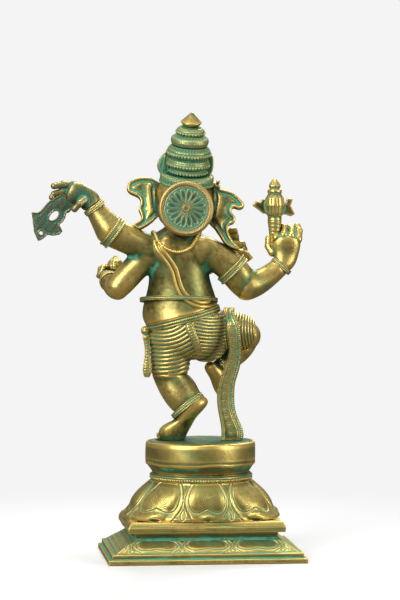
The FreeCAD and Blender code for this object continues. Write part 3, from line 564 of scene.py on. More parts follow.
# ---------------------------------------------------------------- materials
def brass(name, gold, brown, green, pale, verdigris=0.5, rough=0.3, rust=0.0):
    """Aged brass: rubbed bright where proud, brown on the flats, green in the hollows, and painted near-black
    shade deep between parts.
    """
    m = bpy.data.materials.new(name)
    m.use_nodes = True
    nt = m.node_tree
    bsdf = nt.nodes["Principled BSDF"]
    link = nt.links.new

    def node(kind, **kw):
        n = nt.nodes.new(kind)
        for k, x in kw.items():
            setattr(n, k, x)
        return n

    def maths(op, a, b=None, clamp=False):
        n = node("ShaderNodeMath", operation=op, use_clamp=clamp)
        for i, x in enumerate((a, b)):
            if isinstance(x, (int, float)):
                n.inputs[i].default_value = x
            elif x is not None:
                link(x, n.inputs[i])
        return n.outputs[0]

    def add(first, *terms):
        for x, gain in terms:
            first = maths("ADD", first, maths("MULTIPLY", x, gain))
        return first

    def ramp(x, lo, hi):
        n = node("ShaderNodeMapRange", interpolation_type="SMOOTHSTEP")
        link(x, n.inputs[0])
        n.inputs[1].default_value, n.inputs[2].default_value = lo, hi
        return n.outputs[0]

    def mix(fac, a, b):
        n = node("ShaderNodeMix", data_type="RGBA")
        link(fac, n.inputs[0])
        for i, x in ((6, a), (7, b)):
            if isinstance(x, tuple):
                n.inputs[i].default_value = (*x, 1)
            else:
                link(x, n.inputs[i])
        return n.outputs[2]

    co = node("ShaderNodeTexCoord").outputs["Object"]

    def noise(scale, detail, distort, shift):
        """Cloudy value about 0, from roughly -0.5 to 0.5."""
        place = node("ShaderNodeMapping")
        place.inputs["Location"].default_value = (shift, shift * 0.7, -shift)
        link(co, place.inputs[0])
        n = node("ShaderNodeTexNoise")
        n.inputs["Scale"].default_value = scale
        n.inputs["Detail"].default_value = detail
        n.inputs["Roughness"].default_value = 0.6
        n.inputs["Distortion"].default_value = distort
        link(place.outputs[0], n.inputs["Vector"])
        return maths("MULTIPLY", maths("SUBTRACT", n.outputs["Fac"], 0.5), 1.6)

    proud = node("ShaderNodeAttribute", attribute_name="proud").outputs["Fac"]
    shel = node("ShaderNodeAttribute", attribute_name="shelter").outputs["Fac"]
    broad, mid = noise(18, 3, 0.3, 0.0), noise(62, 4, 0.5, 1.3)
    fine, grit = noise(240, 3, 0.2, 2.1), noise(900, 2, 0.0, 3.7)
    # green gathers in grooves, then in sheltered places, broken up by blotches
    g = add(verdigris - 1.0, (proud, -0.95), (shel, 1.0), (broad, 0.75), (mid, 0.55), (fine, 0.22))
    green_mask = ramp(g, 0.0, 0.55)
    # wear: proud and open places keep their shine
    w = add(0.08, (proud, 0.9), (shel, -0.9), (mid, 0.7), (fine, 0.45), (broad, 0.5))
    worn = ramp(w, -0.25, 0.50)
    film = ramp(add(0.10, (broad, 1.3), (mid, 0.9), (fine, 0.3), (proud, -0.9), (shel, 0.5)), -0.35, 0.60)
    metal = mix(maths("MULTIPLY", film, 0.66), mix(worn, brown, gold), FILM)
    chalky = ramp(add(0.1, (proud, -1.0), (mid, 0.9), (fine, 0.4), (shel, -0.3)), 0.0, 0.7)
    patina = mix(chalky, green, pale)
    if rust:
        red = noise(95, 4, 0.8, 5.9)
        patina = mix(ramp(add(0.0, (red, 1.0)), 0.34 - rust, 0.60 - rust), patina, (0.16, 0.045, 0.018))
    colour = mix(maths("MULTIPLY", green_mask, 0.9), metal, patina)
    # painted shade: near-black where the shelter reading is high and the surface is not proud, standing in
    # for shadow deep between parts
    deep = ramp(add(0.0, (proud, -0.5), (shel, 1.0), (fine, 0.3)), 0.68, 1.25)
    colour = mix(maths("MULTIPLY", deep, 0.8), colour, (0.010, 0.018, 0.012))
    link(colour, bsdf.inputs["Base Color"])
    link(maths("SUBTRACT", 0.78, maths("MULTIPLY", green_mask, 0.55), True), bsdf.inputs["Metallic"])
    r = add(rough + 0.09, (green_mask, 0.20), (worn, -0.06), (fine, 0.12), (mid, 0.08))
    link(maths("MAXIMUM", r, 0.16), bsdf.inputs["Roughness"])
    bump = node("ShaderNodeBump")
    bump.inputs["Strength"].default_value = 0.3
    bump.inputs["Distance"].default_value = 0.35 * MM
    link(add(0.0, (fine, 1.0), (grit, 0.45), (mid, 1.4)), bump.inputs["Height"])
    link(bump.outputs[0], bsdf.inputs["Normal"])
    return m


GOLD, BROWN = (0.78, 0.56, 0.16), (0.13, 0.105, 0.030)
GREEN, PALE, FILM = (0.014, 0.120, 0.062), (0.13, 0.44, 0.27), (0.085, 0.19, 0.065)
skin_brass = brass("skin_brass", GOLD, BROWN, GREEN, PALE, 0.86, 0.31)
cloth_brass = brass("cloth_brass", GOLD, BROWN, GREEN, PALE, 0.92, 0.34)
trim_brass = brass("trim_brass", GOLD, BROWN, GREEN, PALE, 0.96, 0.34)
crown_brass = brass("crown_brass", (0.56, 0.50, 0.18), (0.08, 0.16, 0.07), (0.026, 0.19, 0.10),
                    (0.18, 0.54, 0.34), 1.90, 0.36)
wheel_brass = brass("wheel_brass", (0.62, 0.40, 0.12), (0.10, 0.06, 0.025), (0.012, 0.10, 0.06),
                    (0.060, 0.32, 0.20), 1.22, 0.36, rust=0.18)
base_brass = brass("base_brass", (0.84, 0.62, 0.17), (0.33, 0.25, 0.07), GREEN, PALE, 0.90, 0.35)
noose_brass = brass("noose_brass", (0.24, 0.19, 0.09), (0.07, 0.07, 0.04), (0.012, 0.07, 0.048),
                    (0.04, 0.20, 0.14), 1.35, 0.36, rust=0.24)
greened_brass = brass("greened_brass", (0.34, 0.30, 0.12), (0.06, 0.09, 0.045), (0.012, 0.085, 0.05),
                      (0.06, 0.27, 0.18), 1.50, 0.38)

# ---------------------------------------------------------------- torso and arms
BODY = ["torso", "rear_left_upper_arm", "rear_left_forearm", "rear_right_upper_arm", "rear_right_forearm",
        "front_left_upper_arm", "front_left_forearm", "front_right_upper_arm", "front_right_forearm"]
t_lo, t_hi = lohi("torso")
t_mid = middle("torso")


def torso_z(share):
    """Height at a share of the torso's own height."""
    return t_lo[2] + (t_hi[2] - t_lo[2]) * share


def shape_body(field):
    # shoulder blades, a soft ridge each side of the back
    z = torso_z(0.72)
    for side in (-1, 1):
        x = t_mid[0] + side * 19 * MM
        y = on_skin(x, z, ["torso"])
        field.egg((x, y + 4.2 * MM, z), (9 * MM, 5.5 * MM, 12 * MM), 7 * MM)
    # breasts and navel in front
    z = torso_z(0.66)
    for side in (-1, 1):
        x = t_mid[0] + side * 15 * MM
        field.egg((x, on_skin(x, z, ["torso"], 1) - 3 * MM, z), (12 * MM, 6 * MM, 9 * MM), 6 * MM)
    x, z = t_mid[0], torso_z(0.22)
    field.egg((x, on_skin(x, z, ["torso"], 1), z), (2.6 * MM, 3 * MM, 2.6 * MM), 1.5 * MM, cut=True)


cast("body_skin", BODY, BODY_VOXEL, 6 * MM, skin_brass, shape=shape_body)

# ---------------------------------------------------------------- head, trunk, tusks
HEAD = ["head", "trunk"]
h_hi = lohi("head")[1]
h_mid = middle("head")


def shape_head(field):
    for side in (-1, 1):
        x, z = h_mid[0] + side * 15.5 * MM, h_mid[2] + 1 * MM
        y = on_skin(x, z, ["head"], 1)
        if y is None:
            continue
        # brow, eyeball in a socket, lower lid
        field.egg((x, y - 1 * MM, z + 5.5 * MM), (8 * MM, 3.2 * MM, 2.0 * MM), 2.5 * MM)
        field.egg((x, y + 0.6 * MM, z), (6.2 * MM, 2.4 * MM, 3.4 * MM), 1.6 * MM, cut=True)
        field.egg((x, y - 1.4 * MM, z), (4.6 * MM, 3.4 * MM, 2.5 * MM), 0.4 * MM)
        # dome of the forehead and the cheek pad
        x2, z2 = h_mid[0] + side * 9 * MM, h_mid[2] + 15 * MM
        y2 = on_skin(x2, z2, ["head"], 1)
        if y2 is not None:
            field.egg((x2, y2 - 3 * MM, z2), (9 * MM, 5 * MM, 8 * MM), 5 * MM)


def trunk_rings(v, n):
    """Wrinkles across the trunk, spaced by the distance from the head."""
    d = np.linalg.norm(v - (h_mid + (0, 6 * MM, -2 * MM)), axis=1)
    on = smoothstep(v[:, 1] - h_hi[1], -3 * MM, 5 * MM) * smoothstep(d, 26 * MM, 34 * MM)
    return -0.45 * MM * on * (1 - np.abs(np.sin(np.pi * d / (3.4 * MM)))) ** 2


cast("head_skin", HEAD, LIMB_VOXEL, 6 * MM, skin_brass, shape=shape_head, relief=trunk_rings)


def ear_relief(name):
    """Rolled rim on the free edges, a hollow behind it, and a full cheek next to the head."""
    axes = balance(name)[1]

    def relief(v, n):
        d = edge_distance(v, axes[0], axes[1])
        flat = smoothstep(np.abs(n @ axes[2]), 0.2, 0.9)
        out = np.abs(v[:, 0] - h_mid[0])
        free = smoothstep(out, 33 * MM, 38 * MM)
        rim = groove(d - 1.8 * MM, 1.7 * MM)
        gutter = groove(d - 5.0 * MM, 1.8 * MM)
        cheek = smoothstep(d, 3 * MM, 11 * MM) * (1 - smoothstep(out, 36 * MM, 50 * MM))
        return flat * (free * (1.3 * rim - 0.9 * gutter) + 2.2 * cheek) * MM
    return relief


for n in ("left_ear", "right_ear"):
    # the ears' shelter reading is raised by 0.25 all over: more green patina, and more of the painted
    # near-black shade
    cast(n + "_skin", [n], HAND_VOXEL, 0, skin_brass, smooth=1, relief=ear_relief(n), shelter_added=0.25)


def growth_lines(v, n):
    """Fine lines across a tusk."""
    return -0.12 * MM * (1 - np.abs(np.sin(np.pi * (v[:, 2] * 0.8 + v[:, 1] * 0.4) / (1.5 * MM)))) ** 2


for n in ("left_tusk", "right_tusk_stub", "broken_tusk"):
    cast(n + "_ivory", [n], SMALL_VOXEL, 0, skin_brass, smooth=2, relief=growth_lines)

# ---------------------------------------------------------------- hands
# base, knuckle and tip of each hand's first and last finger, as shares of the hand's own box, rounded
# from the solid's own joints; and how far the fingers between them reach past the straight line
FINGERS = {
    "rear_left_hand": ([(0.49, 0.65, 0.87), (0.28, 0.58, 0.89), (0.10, 0.50, 0.84)],
                       [(0.57, 0.72, 0.38), (0.44, 0.83, 0.23), (0.36, 0.76, 0.12)], (-6 * MM, 0, 0)),
    "rear_right_hand": ([(0.86, 0.36, 0.64), (0.90, 0.57, 0.82), (0.86, 0.70, 0.91)],
                        [(0.29, 0.36, 0.68), (0.32, 0.66, 0.84), (0.31, 0.84, 0.90)], (0, 2 * MM, 0)),
    "front_left_hand": ([(0.27, 0.37, 0.35), (0.13, 0.43, 0.55), (0.20, 0.43, 0.84)],
                        [(0.50, 0.79, 0.47), (0.48, 0.88, 0.62), (0.52, 0.86, 0.84)], (-4 * MM, 3 * MM, 0)),
}
FINGER_RADII = (4.5 * MM, 4.1 * MM, 3.5 * MM)


def fingers(name):
    """Four fingers, fanned evenly from the first to the last."""
    def shape(field):
        if name not in FINGERS:
            return
        lo, hi = lohi(name)
        first, last, bow = (np.array(x) for x in FINGERS[name])
        for t in np.linspace(0, 1, 4):
            share = first * (1 - t) + last * t
            stretch = np.array([0, 0.6, 1])[:, None] * bow * math.sin(math.pi * t)
            field.chain(list(lo + share * (hi - lo) + stretch), FINGER_RADII, 1.2 * MM)
    return shape


for n in ("rear_left_hand", "rear_right_hand", "front_left_hand", "front_right_hand"):
    cast(n + "_skin", [n], HAND_VOXEL, 0, greened_brass if n == "rear_left_hand" else skin_brass, smooth=2,
         shape=fingers(n))

# ---------------------------------------------------------------- legs and feet
def toes(field):
    """Five toes round the front of the planted foot."""
    v, (lo, hi) = MESH["left_foot"][0], lohi("left_foot")
    low, heel = v[v[:, 2] < lo[2] + 15 * MM], v[v[:, 2] > hi[2] - 12 * MM].mean(0)
    c = (low.min(0) + low.max(0)) / 2
    ahead = math.atan2(c[1] - heel[1], c[0] - heel[0])
    for turn, r in ((-0.95, 4.6), (-0.45, 4.0), (0.0, 3.8), (0.42, 3.5), (0.85, 3.2)):
        u = np.array([math.cos(ahead + turn), math.sin(ahead + turn)])
        out = ((low[:, :2] - c[:2]) @ u).max() - 2.2 * MM
        field.egg((*(c[:2] + u * out), lo[2] + (r + 0.6) * MM), (r * MM, r * MM, r * MM), 0.7 * MM)


cast("left_leg_skin", ["left_shin", "left_foot"], LIMB_VOXEL, 3 * MM, skin_brass, shape=toes)
cast("right_leg_skin", ["right_shin", "right_foot"], LIMB_VOXEL, 3 * MM, skin_brass)

# ---------------------------------------------------------------- the pleated dhoti
hip_hi = lohi("hips")[1]
lt_lo = lohi("left_thigh")[0]
rt_hi = lohi("right_thigh")[1]
sash_lo = lohi("side_sash")[0]
# centres of the fans of pleats: the left thigh's hangs from the hip, the right buttock's from the belt
LEFT_FAN = np.array([lt_lo[0] + 9 * MM, hip_hi[2] + 12 * MM])
SEAT_FAN = np.array([middle("seat_strap")[0] + 26 * MM, hip_hi[2] + 75 * MM])
LEFT_PITCH, SEAT_PITCH, KNEE_PITCH = 4.7 * MM, 4.0 * MM, 3.7 * MM
strap_x = middle("seat_strap")[0]


def fold(p):
    """Height of a pleat, from 1 at its top to -1.4 in the narrow groove between two."""
    return 1 - 2.4 * (1 - np.abs(np.sin(np.pi * p))) ** 1.7


def pleats(v, n):
    x, z = v[:, 0], v[:, 2]
    left = np.hypot(x - LEFT_FAN[0], z - LEFT_FAN[1]) / LEFT_PITCH
    seat = np.hypot(x - SEAT_FAN[0], z - SEAT_FAN[1]) / SEAT_PITCH
    knee = (x - 0.55 * (z - rt_hi[2]) - 12 * (z - rt_hi[2]) ** 2) / KNEE_PITCH
    to_right = smoothstep(x, strap_x - 0.5 * MM, strap_x + 0.5 * MM)
    to_knee = smoothstep(x, sash_lo[0] + 9 * MM, sash_lo[0] + 11 * MM)
    h = fold(left) * (1 - to_right) + (fold(seat) * (1 - to_knee) + fold(knee) * to_knee) * to_right
    above = smoothstep(z, hip_hi[2] - 3 * MM, hip_hi[2] - 8 * MM)
    return 0.75 * MM * h * above


CLOTH = ["hips", "left_thigh", "right_thigh", "front_drape"]
cast("dhoti", CLOTH, LIMB_VOXEL, 4 * MM, cloth_brass, "cloth_brass", smooth=2, relief=pleats)


def strap_relief(name, depth=0.35):
    """A raised rim, a groove inside it and a row of stitches down the middle."""
    centre, axes = balance(name)

    def relief(v, n):
        d = edge_distance(v, axes[0], axes[1], 0.6 * MM, 10)
        flat = smoothstep(np.abs(n @ axes[2]), 0.3, 0.8)
        along = (v - centre) @ axes[0]
        rim = groove(d - 0.9 * MM, 0.7 * MM)
        inner = smoothstep(d, 2.2 * MM, 2.8 * MM)
        stitch = np.exp(-((((along / (3.2 * MM)) % 1) - 0.5) / 0.16) ** 2)
        return flat * MM * depth * (rim - inner * stitch - 0.9 * groove(d - 1.9 * MM, 0.5 * MM))
    return relief


cast("seat_strap_cloth", ["seat_strap"], HAND_VOXEL, 0, cloth_brass, "cloth_brass", 2,
     relief=strap_relief("seat_strap"))
cast("hip_ribbon_cloth", ["hip_ribbon"], THIN_VOXEL, 0, cloth_brass, "cloth_brass", 2,
     relief=strap_relief("hip_ribbon"))


# ---------------------------------------------------------------- the long sash
def sash():
    """The long hanging strap: a beaded edge, lines along it and engraved motifs down the middle."""
    lo, hi = lohi("side_sash")
    zs = np.arange(hi[2] - 0.8 * MM, lo[2] + 0.3 * MM, -0.6 * MM)
    centre, side, half, thick = [], [], [], []
    for z in zs:
        p = section("side_sash", 2, z)[:, :2]
        c = (p.min(0) + p.max(0)) / 2
        w = np.linalg.eigh(np.cov((p - c).T))[1][:, 1]
        w = w * np.sign(w[0])
        q = np.array([-w[1], w[0]])
        a, b = (p - c) @ w, (p - c) @ q
        centre.append((*(c + w * (a.max() + a.min()) / 2 + q * (b.max() + b.min()) / 2), z))
        side.append((*w, 0))
        half.append((a.max() - a.min()) / 2)
        thick.append((b.max() - b.min()) / 2)
    line = relax(np.column_stack([centre, side, half, thick]), times=12)
    centre, side, half, thick = line[:, :3], line[:, 3:6], np.maximum(line[:, 6], 6.2 * MM), line[:, 7]
    out = unit_rows(np.cross(side, (0, 0, 1.0)))
    s = arc(centre)
    turn = np.linspace(0, 2 * np.pi, 176, endpoint=False)
    # a flat strap with rounded edges
    cx = np.sign(np.cos(turn)) * np.abs(np.cos(turn)) ** 0.55
    cy = np.sign(np.sin(turn)) * np.abs(np.sin(turn)) ** 0.55
    rows = centre[:, None] + side[:, None] * (cx * half[:, None])[..., None] \
        + out[:, None] * (cy * thick[:, None] * 0.82)[..., None]
    across = cx[None] * half[:, None]            # metres from the middle, + to the figure's right
    along = s[:, None]
    flat = smoothstep(np.abs(cy), 0.6, 0.95)[None]
    bead_at = half[:, None] - 2.0 * MM
    frac = (along / (2.3 * MM)) % 1 - 0.5
    h = 0.75 * MM * np.sqrt(np.clip(1 - (frac * 2.1) ** 2 - ((across - bead_at) / (1.25 * MM)) ** 2, 0, 1))
    # raised and sunk lines: which edge, and distance in from it, height and width in millimetres
    for edge, inward, height, width in ((1, 3.9, -0.55, 0.5), (1, 5.0, 0.45, 0.55), (1, 6.2, -0.55, 0.5),
                                        (-1, 0.9, 0.4, 0.7), (-1, 2.4, -0.5, 0.5)):
        h = h + height * MM * groove(across - edge * (half[:, None] - inward * MM), width * MM)
    # engraved motifs down the middle: pairs of strokes, then small hooks
    mid = across + 2.2 * MM
    step = (along / (9.5 * MM)) % 1 - 0.5
    strokes = groove(step * 9.5 * MM - 1.0 * MM, 0.45 * MM) + groove(step * 9.5 * MM + 1.0 * MM, 0.45 * MM)
    strokes = strokes * smoothstep(np.abs(mid), 2.6 * MM, 2.0 * MM) * (half[:, None] > 7 * MM)
    hook = groove(np.hypot(mid, (step - 0.32) * 9.5 * MM) - 1.5 * MM, 0.4 * MM) * (half[:, None] > 8 * MM)
    h = flat * (h - 0.4 * MM * strokes - 0.35 * MM * hook)
    fade = smoothstep(s, 0, 3 * MM) * smoothstep(s[-1] - s, 0, 2 * MM)
    return solid_of(rows, h * fade[:, None])


make("side_sash_cloth", *sash(), cloth_brass, ["side_sash"], "cloth_brass")


# ---------------------------------------------------------------- sacred thread and necklace
def strands(path, offsets, radius, around=14):
    """Strands laid side by side along a path on the skin; offsets are across the path, in metres."""
    path = spline(path, 10)
    length = arc(path)[-1]
    t = np.linspace(0, length, int(length / (0.5 * MM)))
    p = relax(hug(points_at(path, t), "body_skin", 0.6 * MM), times=60)
    tan = unit_rows(np.gradient(p, axis=0))
    side = unit_rows(np.cross(tan, (0, -1.0, 0)))
    up = np.cross(side, tan)
    turn = np.linspace(0, 2 * np.pi, around, endpoint=False)
    vs, fs, n = [], [], 0
    # each strand closes round at its two ends
    end = np.sqrt(np.clip(1 - (np.abs(t - t[-1] / 2) / (t[-1] / 2)) ** 40, 0.02, 1))
    for off in offsets:
        c = hug(p + side * off, "body_skin", 0.6 * MM, turns=3)
        v, f = solid_of(c[:, None] + round_about(turn, side, up) * (radius * end)[:, None, None])
        vs.append(v)
        fs.append(f + n)
        n += len(v)
    return np.vstack(vs), np.vstack(fs)


def thread_path():
    """Middle of the thread's solid, down the back and then out along its tail."""
    lo, hi = lohi("sacred_thread")
    pts = [section("sacred_thread", 2, z).mean(0) for z in np.linspace(hi[2] - 3 * MM, lo[2] + 8 * MM, 9)]
    xs = np.linspace(pts[-1][0] + 5 * MM, hi[0] - 1.5 * MM, 4)
    tail = [section("sacred_thread", 0, x).mean(0) for x in xs]
    return np.array(pts + tail)


make("sacred_thread_cords", *strands(thread_path(), (-2.8 * MM, 2.8 * MM), 2.2 * MM), trim_brass,
     ["sacred_thread"], "ornament_brass")


def necklace():
    """Beaded ring that lies on the back and chest in a U and crosses the shoulders beside the neck."""
    count = 520
    lo, hi = lohi("necklace")
    cx, half, drop = (lo[0] + hi[0]) / 2, (hi[0] - lo[0]) / 2 - 1 * MM, hi[2] - lo[2] - 4 * MM
    skin, pts = ["torso", "rear_left_upper_arm", "rear_right_upper_arm"], []
    for way in (-1, 1):
        for a in np.linspace(-1.15, 1.15, 11) * -way:
            x = cx + half * math.sin(a) / math.sin(1.25)
            z = hi[2] - 2 * MM - drop * (math.cos(a) - 0.25) / 0.75
            pts.append((x, on_skin(x, z, skin, way), z))
    path = spline(np.array(pts), 24, closed=True)
    p = points_at(path, np.linspace(0, arc(path)[-1], count, endpoint=False))
    p = hug(p, "body_skin", 0.9 * MM, closed=True)
    tan = unit_rows(np.roll(p, -1, 0) - np.roll(p, 1, 0))
    out = unit_rows(p - np.array([cx, (lo[1] + hi[1]) / 2, p[:, 2].mean()]))
    side = unit_rows(np.cross(tan, out))
    out = np.cross(side, tan)
    q = np.linspace(0, 2 * np.pi, 20, endpoint=False)
    bead = 1 + 0.24 * np.abs(np.sin(np.linspace(0, np.pi * 74, count, endpoint=False))) - 0.12
    return solid_of(p[:, None] + 2.1 * MM * bead[:, None, None] * round_about(q, out, side), shell=True)


make("necklace_beads", *necklace(), trim_brass, ["necklace"], "ornament_brass")

# ---------------------------------------------------------------- bands on the limbs and waist
ring("waist_belt", cloth_brass, "cloth_brass", 0.4 * MM, 1, 6 * MM, 0.5 * MM, 1.15, 480)
ring("belly_band", trim_brass, "ornament_brass", 0.35 * MM, 1, 4 * MM, 0.5 * MM, 1.1, 480)
for n in ("rear_left_armlet", "rear_right_armlet"):
    ring(n, trim_brass, "ornament_brass", 0.6 * MM, 2, lift=0.9 * MM)
for n in ("rear_left_bracelet", "rear_right_bracelet", "front_left_bracelet"):
    ring(n, trim_brass, "ornament_brass", 0.45 * MM)
for n in ("left_anklet", "right_anklet"):
    ring(n, trim_brass, "ornament_brass", 0.6 * MM, lift=0.9 * MM)

# ---------------------------------------------------------------- crown
band_c, finial_c = balance("crown_band")[0], balance("crown_finial")[0]
CROWN = unit(finial_c - band_c)


def crown_piece(node, name, bead_rows, flutes, around, material=crown_brass):
    """One tier of the crown, turned about its axis; flutes is the depth of its petals in mm."""
    reach = (MESH[node][0] - band_c) @ CROWN
    lo, hi = reach.min(), reach.max()
    prof = profile_of([node], band_c, CROWN, lo + 0.15 * MM, hi - 0.1 * MM, 0.4 * MM)
    prof = [(r, h) for r, h in prof if r > 0]
    tip = 0.4 * MM
    if node == "crown_finial":
        # a smooth cone over a sharp rim
        wide, rim = max(prof)
        prof = [(r, h) for r, h in prof if h < rim]
        prof = prof + [(wide, rim), (0.97 * wide, rim + 0.6 * MM), (0.10 * wide, hi - 0.7 * MM)]
    prof = [(tip, lo)] + [(prof[0][0], lo)] + prof + [(prof[-1][0] * 0.98, hi), (tip, hi)]

    def relief(turn, s, r, h):
        # each tier's widest place carries beads, and its cheek a row of petals
        out = np.zeros(np.broadcast_shapes(turn.shape, s.shape))
        for at, count, size in {round(b[0] / MM): b for b in bead_rows(prof)}.values():
            row = beads(turn, count, h, at, size, 0.85 * size)
            out = np.maximum(out, row * smoothstep(r, 7 * MM, 9 * MM))
        cheek = (1 - np.abs(np.sin(turn * 20 + h / MM * 0.12))) ** 3
        return out - flutes * MM * cheek * smoothstep(r, 8 * MM, 12 * MM)
    return lathe(name, band_c, CROWN, prof, 0.45 * MM, around, relief, material, [node], "ornament_brass")


def crests(prof, size=1.9 * MM):
    """Beads along the lower edge of each tier, where the outline turns under."""
    r, h = np.array(prof).T
    for i in range(3, len(r) - 3):
        near = np.abs(h - h[i]) < 3.2 * MM
        if r[i] >= r[near].max() - 0.02 * MM and r[i] > 9 * MM and r[i] > r[near].min() + 0.9 * MM:
            under = h[near & (r > r[i] - 0.5 * MM)].min()
            yield under, int(2 * np.pi * r[i] / (3.6 * MM)), size


def band_rows(prof):
    """A row of beads near each edge of the crown's lowest band."""
    return [(prof[0][1] + 2.2 * MM, 64, 1.4 * MM), (prof[-1][1] - 1.8 * MM, 64, 1.2 * MM)]


def no_rows(prof):
    return []


crown_piece("crown_band", "crown_band_metal", band_rows, 0.30, 512)
crown_piece("crown_lower_tiers", "crown_lower_metal", crests, 0.25, 480)
crown_piece("crown_upper_tiers", "crown_upper_metal", crests, 0.22, 400)
crown_piece("crown_finial", "crown_finial_metal", no_rows, 0.0, 240, trim_brass)


def leaf_relief(name):
    """A rim, a groove inside it and a vein down the middle."""
    centre, axes = balance(name)

    def relief(v, n):
        d = edge_distance(v, axes[0], axes[1], 0.5 * MM, 10)
        across = (v - centre) @ axes[1]
        return MM * (0.35 * groove(d - 0.8 * MM, 0.6 * MM) - 0.4 * groove(d - 2.0 * MM, 0.5 * MM)
                     + 0.3 * groove(across, 0.6 * MM))
    return relief


for side in ("left", "right"):
    n = f"{side}_crown_petal"
    cast(n + "_leaf", [n], THIN_VOXEL, 0, crown_brass, "ornament_brass", 2, relief=leaf_relief(n))


# ---------------------------------------------------------------- wheel behind the head
def wheel():
    """The wheel behind the head: sixteen outlined petals, a roped rim and ticks on its edge."""
    c, axes = balance("halo_disc")
    w = axes[2] * np.sign(-axes[2][1])                   # towards the back
    u = frame_about(w)[0]
    v = MESH["halo_disc"][0] - c
    rad = np.linalg.norm(v - np.outer(v @ w, w), axis=1)
    face = (v @ w).max()
    back = (v @ w).min()
    R = np.quantile(rad, 0.98)
    prof = spline([(0.4 * MM, face - 1.0 * MM), (0.12 * R, face - 0.9 * MM), (0.14 * R, face - 1.7 * MM),
                   (0.55 * R, face - 1.7 * MM), (0.80 * R, face - 1.6 * MM), (0.835 * R, face - 1.0 * MM),
                   (0.87 * R, face - 0.5 * MM), (0.93 * R, face + 0.1 * MM), (0.985 * R, face - 1.0 * MM),
                   (R, face - 2.6 * MM), (R, back + 1.2 * MM), (0.97 * R, back), (0.6 * R, back)], 8)
    prof = np.vstack([prof, [0.4 * MM, back]])
    petals, root, point = 16, 0.15, 0.70     # a petal's two ends are shares of the wheel's radius

    def relief(turn, s, r, h):
        top = h > (face + back) / 2
        off = ((turn * petals / (2 * np.pi)) % 1 - 0.5) * 2 * np.pi / petals * r      # from the petal's line
        k = np.clip((r / R - root) / (point - root), 0, 1)
        width = 0.118 * R * np.sin(np.pi * k ** 1.35 * 0.97 + 0.02) ** 0.62
        width = np.where((r / R > root) & (r / R < point), width * (0.25 + 0.75 * k), 0)
        outline = groove(np.abs(off) - width, 0.42 * MM) * (r > 0.15 * R) * (r < 0.71 * R)
        tips = groove(np.hypot(off / 1.6, r - 0.655 * R) - 0.045 * R, 0.4 * MM) * (r > 0.655 * R)
        circle = groove(r - 0.775 * R, 0.45 * MM) + 0.8 * groove(r - 0.13 * R, 0.5 * MM)
        rope = 0.55 * MM * np.abs(np.sin(turn * 36 + r / MM * 0.9)) * groove(r - 0.86 * R, 0.055 * R)
        ticks = -0.35 * MM * (1 - np.abs(np.sin(turn * 44 + h / MM * 0.8))) ** 2
        ticks = ticks * smoothstep(r, 0.955 * R, 0.985 * R) * (h > back + 1.5 * MM)
        return np.where(top, 0.55 * MM * np.maximum(outline, tips) + 0.5 * MM * circle + rope, 0) + ticks
    lathe("halo_wheel", c, w, prof, 0.42 * MM, 704, relief, wheel_brass, ["halo_disc"], "ornament_brass", u)


wheel()


# ---------------------------------------------------------------- lotus cushion
def measured(name, centre, turns, heights, reach=0.2):
    """Radius of a CAD node at each height and direction, cast from outside."""
    out = np.zeros((len(heights), len(turns)))
    for i, z in enumerate(heights):
        for j, t in enumerate(turns):
            d = Vector((math.cos(t), math.sin(t), 0))
            hit = tree(name).ray_cast(Vector((centre[0], centre[1], z)) + d * reach, -d, reach)[0]
            out[i, j] = (hit - Vector((centre[0], centre[1], z))).length if hit else np.nan
    for i in range(len(heights)):
        bad = np.isnan(out[i])
        if bad.any():
            out[i] = out[i - 1] if i else np.nanmean(out[i])
    return out


LOTUS_PETALS = 8
# one petal's engraved outlines, as (share of the petal's half width, share of its height)
PETAL_INNER = spline([(0.50, 1.02), (0.68, 0.88), (0.78, 0.72), (0.80, 0.56), (0.75, 0.40), (0.60, 0.27),
                      (0.40, 0.235), (0.20, 0.285), (0.0, 0.345)], 6)
PETAL_OUTER = spline([(0.72, 1.02), (0.87, 0.85), (0.945, 0.66), (0.95, 0.48), (0.88, 0.32), (0.74, 0.17),
                      (0.62, 0.02)], 6)
PETAL_SMALL = spline([(1.0, 0.33), (0.91, 0.20), (0.93, 0.09), (1.0, 0.03)], 6)


def petal_lines(un, t, wide, tall):
    """Distances from a petal's engraved lines: un -1..1 across, t 0..1 up, wide and tall its size."""
    x, y = np.abs(un) * wide, t * tall
    return [line_distance(x, y, [(a * wide, b * tall) for a, b in line])
            for line in (PETAL_INNER, PETAL_OUTER, PETAL_SMALL)]


def petal_body(un, t):
    """Where a petal and the swelling inside its inner line stand out, each from 0 to 1."""
    un = np.abs(un)
    edge = np.interp(t, PETAL_OUTER[::-1, 1], PETAL_OUTER[::-1, 0])
    side = PETAL_INNER[:37][::-1]            # the inner line's side, down to its lowest bend
    core_edge = np.interp(t, side[:, 1], side[:, 0])
    core = smoothstep(core_edge - un, -0.02, 0.25) * smoothstep(t, 0.26, 0.45)
    return smoothstep(edge - un, -0.03, 0.05), core


